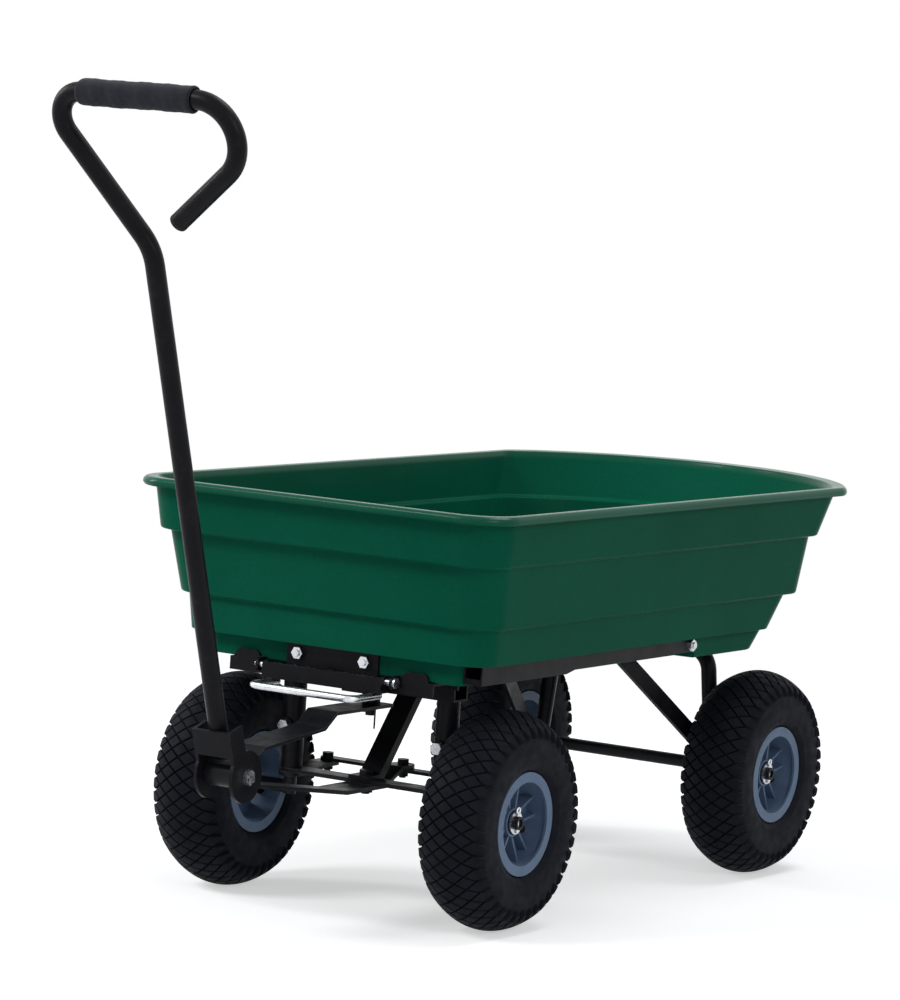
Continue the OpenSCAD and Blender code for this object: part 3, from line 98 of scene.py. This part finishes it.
def place_camera():
    back = Vector((math.sin(AZ) * math.cos(EL), -math.cos(AZ) * math.cos(EL), math.sin(EL)))
    level = Vector((math.cos(AZ), math.sin(AZ), 0.0))
    upright = back.cross(level)
    right = level * math.cos(ROLL) + upright * math.sin(ROLL)
    up = upright * math.cos(ROLL) - level * math.sin(ROLL)
    eye = Vector((0.0, -Y_MID, AIM_Z)) + level * AIM_RIGHT + back * DISTANCE
    data = bpy.data.cameras.new("camera")
    data.sensor_width = SENSOR
    data.lens = FOCAL_PX * SENSOR / PICTURE_PX
    data.clip_start = 0.1
    data.clip_end = 60.0
    camera = bpy.data.objects.new("camera", data)
    camera.matrix_world = Matrix.Translation(eye * MM) @ Matrix((right, up, back)).transposed().to_4x4()
    bpy.context.scene.collection.objects.link(camera)
    bpy.context.scene.camera = camera


place_camera()
bpy.context.scene.view_settings.view_transform = "Standard"


# materials

class Mat:
    """A node material: the principled shader and a few short ways to feed it."""

    def __init__(self, name, rough, metallic=0.0, specular=0.5):
        self.mat = bpy.data.materials.new(name)
        self.mat.use_nodes = True
        self.tree = self.mat.node_tree
        self.bsdf = self.tree.nodes["Principled BSDF"]
        self.bsdf.inputs["Metallic"].default_value = metallic
        self.bsdf.inputs["Roughness"].default_value = rough
        self.bsdf.inputs["Specular IOR Level"].default_value = specular
        self.coord = self.tree.nodes.new("ShaderNodeTexCoord").outputs["Object"]
        self.normal = None

    def node(self, kind, **values):
        n = self.tree.nodes.new(kind)
        for key, value in values.items():
            setattr(n, key, value)
        return n

    def link(self, a, b):
        self.tree.links.new(a, b)

    def noise(self, scale, detail=4.0, rough=0.55, distortion=0.0, stretch=None):
        n = self.node("ShaderNodeTexNoise")
        n.inputs["Scale"].default_value = scale
        n.inputs["Detail"].default_value = detail
        n.inputs["Roughness"].default_value = rough
        n.inputs["Distortion"].default_value = distortion
        vector = self.coord
        if stretch:
            m = self.node("ShaderNodeMapping")
            m.inputs["Scale"].default_value = stretch
            self.link(self.coord, m.inputs["Vector"])
            vector = m.outputs["Vector"]
        self.link(vector, n.inputs["Vector"])
        return n.outputs["Fac"]

    def height(self):
        n = self.node("ShaderNodeSeparateXYZ")
        self.link(self.coord, n.inputs["Vector"])
        return n.outputs["Z"]

    def cells(self, scale, feature="F1"):
        n = self.node("ShaderNodeTexVoronoi", feature=feature)
        n.inputs["Scale"].default_value = scale
        self.link(self.coord, n.inputs["Vector"])
        return n.outputs["Distance"]

    def span(self, fac, lo, hi, out_lo, out_hi):
        n = self.node("ShaderNodeMapRange")
        n.inputs["From Min"].default_value = lo
        n.inputs["From Max"].default_value = hi
        n.inputs["To Min"].default_value = out_lo
        n.inputs["To Max"].default_value = out_hi
        self.link(fac, n.inputs["Value"])
        return n.outputs["Result"]

    def mix(self, fac, a, b):
        n = self.node("ShaderNodeMix", data_type="RGBA")
        self.link(fac, n.inputs[0])
        for value, socket in ((a, n.inputs[6]), (b, n.inputs[7])):
            if isinstance(value, tuple):
                socket.default_value = value
            else:
                self.link(value, socket)
        return n.outputs[2]

    def edges(self, radius):
        """1 along worn outer edges, 0 on faces."""
        bevel = self.node("ShaderNodeBevel", samples=4)
        bevel.inputs["Radius"].default_value = radius
        geo = self.node("ShaderNodeNewGeometry")
        dot = self.node("ShaderNodeVectorMath", operation="DOT_PRODUCT")
        self.link(bevel.outputs["Normal"], dot.inputs[0])
        self.link(geo.outputs["Normal"], dot.inputs[1])
        return self.span(dot.outputs["Value"], 0.97, 0.80, 0.0, 1.0)

    def times(self, a, b):
        n = self.node("ShaderNodeMath", operation="MULTIPLY")
        self.link(a, n.inputs[0])
        self.link(b, n.inputs[1])
        return n.outputs["Value"]

    def bump(self, height, distance, strength=1.0):
        n = self.node("ShaderNodeBump")
        n.inputs["Distance"].default_value = distance
        n.inputs["Strength"].default_value = strength
        self.link(height, n.inputs["Height"])
        if self.normal is not None:
            self.link(self.normal, n.inputs["Normal"])
        self.normal = n.outputs["Normal"]

    def done(self, colour, roughness):
        self.link(colour, self.bsdf.inputs["Base Color"])
        self.link(roughness, self.bsdf.inputs["Roughness"])
        if self.normal is not None:
            self.link(self.normal, self.bsdf.inputs["Normal"])
        return self.mat


# the lip at the top of the tray, in millimetres, and how far its rolled rim outshines the walls
Z_LIP, LIP_H = 489.0, 10.0
WALL_GLOSS, RIM_GLOSS = 0.012, 0.13


def tray_material():
    m = Mat("tray_green", 0.24)
    big = m.noise(5.0, 3.0)
    fine = m.noise(240.0, 3.0, 0.6)
    tone = m.mix(m.span(big, 0.35, 0.65, 0.0, 1.0), srgb(11, 87, 65), srgb(14, 94, 71))
    tone = m.mix(m.span(fine, 0.3, 0.7, 0.0, 0.35), tone, srgb(8, 74, 53))
    scuff = m.noise(26.0, 6.0, 0.7, stretch=(1.0, 1.0, 9.0))
    rub = m.span(scuff, 0.66, 0.80, 0.0, 0.22)
    tone = m.mix(rub, tone, srgb(30, 104, 82))
    rough = m.span(m.noise(14.0, 5.0, 0.65), 0.3, 0.7, 0.17, 0.28)
    m.bump(m.noise(7.0, 2.0), 0.0012, 0.5)
    m.bump(m.noise(620.0, 3.0), 0.00006, 0.6)
    gloss = m.span(m.height(), Z_LIP * MM, (Z_LIP + LIP_H / 2) * MM, WALL_GLOSS, RIM_GLOSS)
    m.link(gloss, m.bsdf.inputs["Specular IOR Level"])
    return m.done(tone, rough)


def powder_black():
    m = Mat("frame_black", 0.36, specular=0.09)
    tone = m.mix(m.span(m.noise(18.0, 4.0), 0.3, 0.7, 0.0, 1.0), srgb(17, 17, 20), srgb(23, 23, 27))
    chips = m.times(m.edges(0.0012), m.span(m.noise(160.0, 5.0, 0.7), 0.48, 0.62, 0.0, 0.75))
    tone = m.mix(chips, tone, srgb(78, 79, 82))
    dust = m.span(m.noise(55.0, 6.0, 0.7), 0.55, 0.8, 0.0, 0.10)
    tone = m.mix(dust, tone, srgb(96, 92, 86))
    rough = m.span(m.noise(40.0, 5.0), 0.3, 0.7, 0.30, 0.46)
    m.bump(m.noise(900.0, 2.0), 0.00008, 0.55)
    return m.done(tone, rough)


def steering_black():
    m = Mat("steering_steel", 0.38, specular=0.12)
    tone = m.mix(m.span(m.noise(24.0, 4.0), 0.3, 0.7, 0.0, 1.0), srgb(24, 25, 28), srgb(32, 33, 37))
    worn = m.times(m.edges(0.0015), m.span(m.noise(130.0, 5.0, 0.7), 0.42, 0.6, 0.0, 0.9))
    tone = m.mix(worn, tone, srgb(96, 98, 102))
    rough = m.span(m.noise(60.0, 5.0), 0.3, 0.7, 0.30, 0.48)
    m.bump(m.noise(750.0, 2.0), 0.00008, 0.5)
    return m.done(tone, rough)


def zinc():
    m = Mat("zinc", 0.28, metallic=1.0)
    tone = m.mix(m.span(m.noise(90.0, 4.0), 0.3, 0.7, 0.0, 1.0), srgb(196, 199, 205), srgb(222, 224, 228))
    tone = m.mix(m.span(m.noise(38.0, 3.0), 0.52, 0.75, 0.0, 0.35), tone, srgb(196, 190, 168))
    rough = m.span(m.noise(210.0, 5.0, 0.7), 0.3, 0.7, 0.18, 0.40)
    m.bump(m.noise(1400.0, 2.0), 0.00004, 0.5)
    return m.done(tone, rough)


def rubber(name, low, high, specular=0.07):
    m = Mat(name, 0.7, specular=specular)
    tone = m.mix(m.span(m.noise(30.0, 5.0), 0.3, 0.7, 0.0, 1.0), low, high)
    dust = m.span(m.noise(140.0, 6.0, 0.75), 0.55, 0.8, 0.0, 0.16)
    tone = m.mix(dust, tone, srgb(70, 68, 66))
    rough = m.span(m.noise(80.0, 5.0), 0.3, 0.7, 0.56, 0.78)
    m.bump(m.noise(1100.0, 3.0), 0.00012, 0.6)
    return m.done(tone, rough)


def rim_plastic():
    m = Mat("rim_plastic", 0.42, specular=0.16)
    tone = m.mix(m.span(m.noise(22.0, 4.0), 0.3, 0.7, 0.0, 1.0), srgb(94, 114, 141), srgb(106, 127, 154))
    tone = m.mix(m.span(m.noise(260.0, 3.0), 0.5, 0.75, 0.0, 0.3), tone, srgb(92, 111, 136))
    rub = m.times(m.edges(0.0012), m.span(m.noise(190.0, 4.0), 0.45, 0.62, 0.0, 0.5))
    tone = m.mix(rub, tone, srgb(172, 186, 202))
    rough = m.span(m.noise(60.0, 5.0), 0.3, 0.7, 0.34, 0.52)
    m.bump(m.noise(700.0, 3.0), 0.00008, 0.6)
    return m.done(tone, rough)


def foam():
    m = Mat("grip_foam", 0.9, specular=0.2)
    tone = m.mix(m.span(m.noise(60.0, 5.0), 0.3, 0.7, 0.0, 1.0), srgb(20, 22, 32), srgb(30, 32, 44))
    tone = m.mix(m.span(m.cells(1500.0), 0.0, 0.5, 0.45, 0.0), tone, srgb(8, 9, 14))
    rough = m.span(m.noise(300.0, 4.0), 0.3, 0.7, 0.78, 0.95)
    m.bump(m.noise(90.0, 4.0), 0.0006, 0.5)
    m.bump(m.cells(1300.0), 0.00035, 0.6)
    m.bsdf.inputs["Sheen Weight"].default_value = 0.12
    m.bsdf.inputs["Sheen Roughness"].default_value = 0.6
    return m.done(tone, rough)


MATS = {
    "tray_green": tray_material(),
    "frame_black": powder_black(),
    "steering_steel": steering_black(),
    "zinc": zinc(),
    "tyre_rubber": rubber("tyre_rubber", srgb(18, 20, 26), srgb(25, 27, 34)),
    "rim_plastic": rim_plastic(),
    "plug_black": rubber("plug_black", srgb(16, 16, 18), srgb(24, 24, 27), 0.2),
    "valve_rubber": rubber("valve_rubber", srgb(14, 14, 16), srgb(20, 20, 23)),
    "grip_foam": foam(),
}

BLACK = ("rail_left rail_right latch_bracket hinge_saddles front_bolster kingpin_frame spine_front "
         "spine_rear brace_strap rear_arch rear_braces centre_strut release_lever handle_clevis handle_tube")
ZINC = ("rail_bolts bracket_bolts saddle_bolts_set rear_washers rear_cotters post_bolts latch_pin "
        "release_pull handle_bolt washer_fl washer_fr cotter_fl cotter_fr")
STEER = ("lower_tie_bar yoke_top_plate yoke_bottom_plate yoke_head tie_rod rear_axle knuckle_left "
         "knuckle_right tie_rod_bolts lower_pivot_bolt upper_pivot_pin upper_pivot_washer upper_pivot_cotter")
FINISH = {"tray": "tray_green", "handle_plug": "plug_black", "foam_grip": "grip_foam"}
for names, slot in ((BLACK, "frame_black"), (ZINC, "zinc"), (STEER, "steering_steel")):
    for n in names.split():
        FINISH[n] = slot
for w in WHEELS:
    FINISH["tyre_" + w] = "tyre_rubber"
    FINISH["rim_" + w] = "rim_plastic"
    FINISH["bushes_" + w] = "plug_black"
    FINISH["valve_" + w] = "valve_rubber"
for n, obj in NODES.items():
    mat = MATS[FINISH[n]]
    if not obj.material_slots:
        obj.data.materials.append(mat)
    for s in obj.material_slots:
        s.material = mat


# tray

# size over the rim and wall, then the rim's rear and front ends behind and ahead of the axles
TRAY_W, TRAY_T = 514.0, 4.0
Y_REAR, Y_RIM = WHEELBASE + 237.0, -168.0
# radii of the rim's front and rear corners, of the lowest tier's corners, and what each tier takes off
RIM_FRONT_R, RIM_REAR_R, LOW_R, CORNER_STEP, LEAST_R = 55.0, 50.0, 12.0, 4.0, 10.0
# the rear's bow past the half width, and the recess for the rail
BOW_OVER, RAIL_SET, RAIL_L, RAIL_GAP, RAIL_W, RAIL_SLANT = 28.0, 9.0, 504.0, 0.3, 25.0, 2.0
CORNER_N, BOW_N = 18, 48


def arc(cx, cy, r, a0, a1, n):
    return [(cx + r * math.cos(a0 + (a1 - a0) * i / n), cy + r * math.sin(a0 + (a1 - a0) * i / n))
            for i in range(n + 1)]


def plan(w, yf, yb, rf, rr, step, y_front):
    """Outline with straight sides and front, a bowed rear and a side step where the rail lies."""
    bow = w + BOW_OVER
    cy = yb - bow
    kx = w - rr
    ky = cy + math.sqrt((bow - rr) ** 2 - kx ** 2)
    a = math.atan2(ky - cy, kx)
    ye = y_front + RAIL_SET + RAIL_L + RAIL_GAP
    n = w - step
    pi = math.pi
    return (arc(kx, ky, rr, 0, a, CORNER_N) + arc(0, cy, bow, a, pi - a, BOW_N)[1:-1]
            + arc(-kx, ky, rr, pi - a, pi, CORNER_N) + [(-w, ye + RAIL_SLANT), (-n, ye)]
            + arc(-n + rf, yf + rf, rf, pi, 1.5 * pi, CORNER_N)
            + arc(n - rf, yf + rf, rf, 1.5 * pi, 2 * pi, CORNER_N) + [(n, ye), (w, ye + RAIL_SLANT)])


def tray_rings():
    """Levels of the tray from the underside over the rim to the floor, each with its edge radius."""
    # how far the edges of the tiers lie inside the rim, from the rim down to the underside
    side = [0, 11, 17, 24.5, 34.5, 42.5, 47, 58]
    front = [0, 15, 24, 37, 52, 60, 63, 80]
    rear = [0, 23, 55, 69, 82, 105, 140, 142, 171]
    z_tray, z_cd, z_bc, z_ab = 292.0, 318.0, 362.0, 437.0
    z_rim = Z_LIP + LIP_H
    y_front = Y_RIM + front[7]
    step = RAIL_W + RAIL_GAP
    curl = LIP_H / 2

    def level(z, s, f, r, k, st, inset, radius):
        front_r = LOW_R if st else RIM_FRONT_R - CORNER_STEP * k
        rear_r = RIM_REAR_R - CORNER_STEP / 2 * k
        pts = plan(TRAY_W / 2 - s - inset, Y_RIM + f + inset, Y_REAR - r - inset,
                   front_r - inset, max(rear_r - inset, LEAST_R), st, y_front)
        return [Vector((p[0], p[1], z)) for p in pts], radius

    t = TRAY_T
    return [
        level(z_tray, side[7], front[7], rear[8], 5, step, 0, 3.0),
        level(z_cd, side[7], front[7], rear[7], 5, step, 0, 0.25),
        level(z_cd, side[6], front[6], rear[6], 4, 0, 0, 0.8),
        level(z_bc - 1, side[5], front[5], rear[5], 4, 0, 0, 2.4),
        level(z_bc, side[4], front[4], rear[4], 3, 0, 0, 2.8),
        level(z_ab - 1, side[3], front[3], rear[3], 3, 0, 0, 2.4),
        level(z_ab, side[2], front[2], rear[2], 2, 0, 0, 2.8),
        level(Z_LIP, side[1], front[1], rear[1], 1, 0, 0, 2.5),
        level(Z_LIP - curl / 5, 2, 2, 2, 0, 0, 0, 1.2),
        level(Z_LIP + curl / 2, 0, 0, 0, 0, 0, 0, 1.4),
        level(Z_LIP + 1.3 * curl, 0.6, 0.6, 0.6, 0, 0, 0, 1.4),
        level(z_rim - curl / 8, 3, 3, 3, 0, 0, 0, 1.0),
        level(z_rim, curl + 1, curl + 1, curl + 1, 0, 0, 0, 1.4),
        level(z_rim - curl / 8, side[1], front[1], rear[1], 1, 0, t / 2, 1.6),
        level(z_rim - curl, side[1], front[1], rear[1], 1, 0, t, 3.0),
        level(z_ab + t, side[2], front[2], rear[2], 2, 0, t, 3.0),
        level(z_ab + t - 1, side[3], front[3], rear[3], 3, 0, t, 2.6),
        level(z_bc + t, side[4], front[4], rear[4], 3, 0, t, 3.0),
        level(z_bc + t - 1, side[5], front[5], rear[5], 4, 0, t, 2.6),
        level(z_cd + t, side[6], front[6], rear[6], 4, 0, t, 1.0),
        level(z_cd + t, side[7], front[7], rear[7], 5, step, t, 2.0),
        level(z_tray + t, side[7], front[7], rear[8], 5, step, t, 5.0),
    ]


def drawn_in(ring, run):
    """The ring with each point moved by the run towards the ring's middle."""
    middle = Vector((0, sum(p.y for p in ring) / len(ring), ring[0].z))
    return [p + (middle - p).normalized() * run for p in ring]


def rounded(rings, cuts=4):
    """Rings with every level turned into a small bend, which takes under half of each run beside it."""
    under_run, floor_run, share = 12, 14, 0.46
    levels = [r[0] for r in rings]
    before = [drawn_in(levels[0], under_run)] + levels[:-1]
    after = levels[1:] + [drawn_in(levels[-1], floor_run)]
    out = []
    for (ring, radius), prev, nxt in zip(rings, before, after):
        steps = [[] for _ in range(cuts + 1)]
        for i in range(len(ring)):
            p, a, b = ring[i], prev[i] - ring[i], nxt[i] - ring[i]
            ra = min(radius, share * a.length)
            rb = min(radius, share * b.length)
            pa = p + a.normalized() * ra
            pb = p + b.normalized() * rb
            for c in range(cuts + 1):
                t = c / cuts
                steps[c].append(pa * (1 - t) ** 2 + p * 2 * t * (1 - t) + pb * t * t)
        out.extend(steps)
    return out


def build_tray():
    """The tray's skin with rounded edges, set on the solid's own lower front corner."""
    rings = rounded(tray_rings())
    bm = bmesh.new()
    shift = Vector((0, -Y_MID, 0))
    rows = [[bm.verts.new((p + shift) * MM) for p in ring] for ring in rings]
    skin(bm, rows, closed=False)
    bm.faces.new(list(reversed(rows[0])))
    bm.faces.new(rows[-1])
    bmesh.ops.remove_doubles(bm, verts=bm.verts, dist=0.00003)
    bmesh.ops.recalc_face_normals(bm, faces=bm.faces)
    obj = mesh_object("tray_shell", bm)
    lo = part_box("tray")[0]
    pts = [v.co for v in obj.data.vertices]
    have = Vector([min(p[i] for p in pts) for i in range(3)])
    obj.data.transform(Matrix.Translation(Vector((0, lo.y - have.y, lo.z - have.z))))
    obj.data.set_sharp_from_angle(angle=math.radians(50))
    normals = obj.modifiers.new("normals", "WEIGHTED_NORMAL")
    normals.weight = 60
    normals.keep_sharp = True
    obj.data.materials.append(MATS["tray_green"])
    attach(obj, "tray")
    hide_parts("tray")


build_tray()


# tyres

# radius, half widths of the tyre and its tread, the tread's fall to its edge, and the lugs' height
TYRE_R, TYRE_HALF, TREAD_HALF, FALL, DEPTH = 130.0, 42.0, 36.0, 13.0, 4.0
LUGS, LUG_ROWS, LUG_OVER = 44, 6, 9.0
ROW = 2 * TREAD_HALF / LUG_ROWS
AROUND = math.pi / LUGS
# past the tread's edge: how much steeper it falls, its curve, its width, and which way lugs stand there
SHOULDER_STEEP, SHOULDER_CURVE, SHOULDER_WIDTH, SHOULDER_OUT = 1.35, 0.03, 0.75, (0.62, 0.78)
# rings on the flank: radius, width and height
RIDGES = ((101.5, 1.6, 0.7), (97.0, 1.2, 0.4), (70.5, 2.2, 0.8))


def tread_r(v):
    return TYRE_R - FALL * (v / TREAD_HALF) ** 2


def tyre_profile():
    """Closed outline of the tyre's carcass as (v, r), without its lugs."""
    shoulder = tread_r(TREAD_HALF) - DEPTH
    flank, foot = 61.9, 59.65
    mid, half = (shoulder + flank) / 2, (shoulder - flank) / 2
    swell = TYRE_HALF - TREAD_HALF + 3
    across, along, sweep = 24, 22, 66
    top = []
    for i in range(across + 1):
        v = -TREAD_HALF + 2 * TREAD_HALF * i / across
        top.append((v, tread_r(v) - DEPTH))
    side = []
    for i in range(along + 1):
        a = math.radians(sweep - 2 * sweep * i / along)
        v = TYRE_HALF - swell + swell * math.cos(a)
        r = mid + half * math.sin(a)
        for at, wide, high in RIDGES:
            v += high * math.exp(-((r - at) / wide) ** 2)
        side.append((v, r))
    # the bead on the rim, then the hollow inside up to its crown
    inner = [(32.8, flank), (32.6, foot), (23.6, foot), (26.0, 70.0), (35.5, 80.0), (36.2, 95.0),
             (31.0, 108.0), (18.0, 117.0)]
    crown = (0.0, 119.0)
    half_loop = side + inner
    return top + half_loop + [crown] + [(-v, r) for v, r in reversed(half_loop)]


def lug_point(v, j, lift):
    """A point over the tread at v across and j half pitches round, lifted from the groove floor."""
    if abs(v) <= TREAD_HALF:
        x, r = v, tread_r(v) - DEPTH + lift
    else:
        over = abs(v) - TREAD_HALF
        slope = 2 * FALL / TREAD_HALF * SHOULDER_STEEP
        out_x, out_r = SHOULDER_OUT
        x = math.copysign(TREAD_HALF + over * SHOULDER_WIDTH + out_x * lift, v)
        r = tread_r(TREAD_HALF) - DEPTH - slope * over - SHOULDER_CURVE * over * over + out_r * lift
    return round_x(x, r, j * AROUND)


def add_lug(bm, v0, j0):
    """One diamond lug with bevelled edges, sunk a little into the carcass."""
    grid = 4
    # share of the lug's pitch, and height over the groove floor, from its foot to its top
    rings = ((0.93, -1.0), (0.89, 2.6), (0.86, 3.5), (0.80, DEPTH))
    cells = {}

    def vert(s, t, share, lift):
        v = v0 + (s + t) / 2 * ROW * share
        v = min(max(v, -TREAD_HALF - LUG_OVER), TREAD_HALF + LUG_OVER)
        return bm.verts.new(lug_point(v, j0 + (s - t) / 2 * share, lift) * MM)

    edge = ([(-1 + 2 * i / grid, -1) for i in range(grid)] + [(1, -1 + 2 * i / grid) for i in range(grid)]
            + [(1 - 2 * i / grid, 1) for i in range(grid)] + [(-1, 1 - 2 * i / grid) for i in range(grid)])
    loops = [[vert(s, t, share, lift) for s, t in edge] for share, lift in rings]
    skin(bm, loops, closed=False)
    share, lift = rings[-1]
    for i in range(grid + 1):
        for j in range(grid + 1):
            s, t = -1 + 2 * i / grid, -1 + 2 * j / grid
            if (s, t) in edge:
                cells[i, j] = loops[-1][edge.index((s, t))]
            else:
                cells[i, j] = vert(s, t, share, lift)
    for i in range(grid):
        for j in range(grid):
            bm.faces.new((cells[i, j], cells[i + 1, j], cells[i + 1, j + 1], cells[i, j + 1]))
    bm.faces.new(list(reversed(loops[0])))


def tyre_mesh():
    """The carcass turned round the axle, with rows of diamond lugs set half a pitch apart."""
    bm = bmesh.new()
    loop = tyre_profile()
    seg = 132
    rows = []
    for k in range(seg):
        a = 2 * math.pi * k / seg
        rows.append([bm.verts.new(round_x(v, r, a) * MM) for v, r in loop])
    skin(bm, rows, closed=True)
    for k in range(LUG_ROWS + 1):
        v0 = -TREAD_HALF + k * ROW
        for i in range(LUGS):
            add_lug(bm, v0, 2 * i + (k % 2))
    bmesh.ops.remove_doubles(bm, verts=bm.verts, dist=0.000002)
    bmesh.ops.recalc_face_normals(bm, faces=bm.faces)
    return bm


def build_tyres():
    """Four treaded tyres, each a copy of the first, set in its wheel's place."""
    first = None
    for w in WHEELS:
        lo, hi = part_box("tyre_" + w)
        if first is None:
            obj = mesh_object("tread_" + w, tyre_mesh())
            obj.data.set_sharp_from_angle(angle=math.radians(32))
            obj.data.materials.append(MATS["tyre_rubber"])
            first = obj.data.copy()
        else:
            obj = bpy.data.objects.new("tread_" + w, first.copy())
            bpy.context.scene.collection.objects.link(obj)
        obj.data.transform(Matrix.Translation((lo + hi) / 2))
        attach(obj, "wheel_" + w)
        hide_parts("tyre_" + w)


build_tyres()


# foam grip

# bore of the sleeve, radius of its rounded ends, and the least depth of its waves
GRIP_BORE, GRIP_END, GRIP_SLACK = 11.25, 3.2, 0.62


def grip_profile(half, radius):
    """Closed outline of the sleeve as (x, r), with rounded ends and a chamfered bore."""
    end_n, body_n = 6, 40
    flat = half - GRIP_END
    shoulder = [math.pi / 2 * i / end_n for i in range(end_n + 1)]
    curve = [(flat + GRIP_END * math.cos(a), radius - GRIP_END + GRIP_END * math.sin(a)) for a in shoulder]
    body = [(-flat + 2 * flat * i / body_n, radius) for i in range(1, body_n)]
    bore = [(half - 0.6, GRIP_BORE + 1.6), (half - 2.0, GRIP_BORE)]
    return ([(-x, r) for x, r in curve] + body + list(reversed(curve)) + bore
            + [(-x, r) for x, r in reversed(bore)])


def grip_wave(x, a):
    """Shallow waves along and round the foam."""
    return (0.28 * math.sin(x * 0.19 + 1.3 * math.sin(a)) + 0.22 * math.sin(3 * a + x * 0.07)
            + 0.16 * math.sin(x * 0.53 + 2 * a))


def build_grip():
    """A foam sleeve with rounded ends and the shallow waves of a slipped-on tube."""
    lo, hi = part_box("foam_grip")
    mid = (lo + hi) / 2
    profile = grip_profile((hi.x - lo.x) / MM / 2, (hi.z - lo.z) / MM / 2)
    bm = bmesh.new()
    seg = 64
    rows = []
    for k in range(seg):
        a = 2 * math.pi * k / seg
        row = []
        for x, r in profile:
            if r > GRIP_BORE + 2:
                r += grip_wave(x, a) - GRIP_SLACK
            row.append(bm.verts.new(mid + round_x(x, r, a) * MM))
        rows.append(row)
    skin(bm, rows, closed=True)
    bmesh.ops.recalc_face_normals(bm, faces=bm.faces)
    obj = mesh_object("grip_sleeve", bm)
    obj.data.materials.append(MATS["grip_foam"])
    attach(obj, "handle")
    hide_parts("foam_grip")


build_grip()


# stage and light

# the floor's glow to the eye, and the ring in which it fades away, in metres
FLOOR_SIZE, FLOOR_GLOW, FADE_FROM, FADE_TO = 14.0, 0.5, 1.0, 2.6
WORLD_SOFT = 0.26


def seen_directly(tree):
    """1 for rays from the camera and through mirrors or glass, 0 for the rays that light the object."""
    path = tree.nodes.new("ShaderNodeLightPath")
    seen = path.outputs["Is Camera Ray"]
    for name in ("Is Glossy Ray", "Is Transmission Ray"):
        most = tree.nodes.new("ShaderNodeMath")
        most.operation = "MAXIMUM"
        tree.links.new(seen, most.inputs[0])
        tree.links.new(path.outputs[name], most.inputs[1])
        seen = most.outputs[0]
    return seen


def floor_material():
    mat = bpy.data.materials.new("floor_pale")
    mat.use_nodes = True
    tree = mat.node_tree
    bsdf = tree.nodes["Principled BSDF"]
    bsdf.inputs["Base Color"].default_value = (0.86, 0.86, 0.865, 1.0)
    bsdf.inputs["Roughness"].default_value = 0.9
    bsdf.inputs["Specular IOR Level"].default_value = 0.0
    bsdf.inputs["Emission Color"].default_value = (1.0, 1.0, 1.0, 1.0)
    glow = tree.nodes.new("ShaderNodeMapRange")
    glow.inputs["To Max"].default_value = FLOOR_GLOW
    tree.links.new(seen_directly(tree), glow.inputs["Value"])
    tree.links.new(glow.outputs["Result"], bsdf.inputs["Emission Strength"])
    place = tree.nodes.new("ShaderNodeTexCoord")
    reach = tree.nodes.new("ShaderNodeVectorMath")
    reach.operation = "LENGTH"
    tree.links.new(place.outputs["Object"], reach.inputs[0])
    fade = tree.nodes.new("ShaderNodeMapRange")
    fade.interpolation_type = "SMOOTHSTEP"
    fade.inputs["From Min"].default_value = FADE_FROM
    fade.inputs["From Max"].default_value = FADE_TO
    tree.links.new(reach.outputs["Value"], fade.inputs["Value"])
    clear = tree.nodes.new("ShaderNodeBsdfTransparent")
    blend = tree.nodes.new("ShaderNodeMixShader")
    tree.links.new(fade.outputs["Result"], blend.inputs[0])
    tree.links.new(bsdf.outputs["BSDF"], blend.inputs[1])
    tree.links.new(clear.outputs["BSDF"], blend.inputs[2])
    tree.links.new(blend.outputs["Shader"], tree.nodes["Material Output"].inputs["Surface"])
    return mat


def build_floor():
    bm = bmesh.new()
    bmesh.ops.create_grid(bm, x_segments=1, y_segments=1, size=FLOOR_SIZE)
    floor = mesh_object("floor", bm, smooth=False)
    floor.data.materials.append(floor_material())


def build_world():
    """A soft pale light all round, behind which the eye sees plain white."""
    world = bpy.data.worlds.new("studio")
    world.use_nodes = True
    bpy.context.scene.world = world
    tree = world.node_tree
    tree.nodes.clear()
    out = tree.nodes.new("ShaderNodeOutputWorld")
    soft = tree.nodes.new("ShaderNodeBackground")
    soft.inputs["Color"].default_value = (0.93, 0.96, 1.0, 1.0)
    soft.inputs["Strength"].default_value = WORLD_SOFT
    white = tree.nodes.new("ShaderNodeBackground")
    white.inputs["Color"].default_value = (1.0, 1.0, 1.0, 1.0)
    white.inputs["Strength"].default_value = 1.0
    mix = tree.nodes.new("ShaderNodeMixShader")
    tree.links.new(seen_directly(tree), mix.inputs[0])
    tree.links.new(soft.outputs[0], mix.inputs[1])
    tree.links.new(white.outputs[0], mix.inputs[2])
    tree.links.new(mix.outputs[0], out.inputs["Surface"])


def lamp(name, place, target, size, power, colour=(1.0, 1.0, 1.0)):
    data = bpy.data.lights.new(name, "AREA")
    data.shape = "RECTANGLE"
    data.size, data.size_y = size
    data.energy = power
    data.color = colour
    obj = bpy.data.objects.new(name, data)
    obj.location = place
    obj.rotation_euler = (Vector(target) - Vector(place)).to_track_quat("-Z", "Y").to_euler()
    bpy.context.scene.collection.objects.link(obj)


build_floor()
build_world()
lamp("key", (-2.2, -3.4, 3.6), (0.0, 0.0, 0.35), (1.5, 1.5), 95.0)
lamp("fill", (3.6, -1.6, 2.2), (0.0, 0.1, 0.35), (1.6, 1.6), 30.0, (0.95, 0.98, 1.0))
lamp("top", (0.6, 1.6, 4.2), (0.0, 0.2, 0.3), (1.8, 1.8), 64.0, (0.96, 0.98, 1.0))
lamp("strip", (-3.4, -1.0, 1.9), (0.1, 0.4, 0.4), (0.7, 1.6), 40.0)


# end: the view layer brought up to date

bpy.context.view_layer.update()
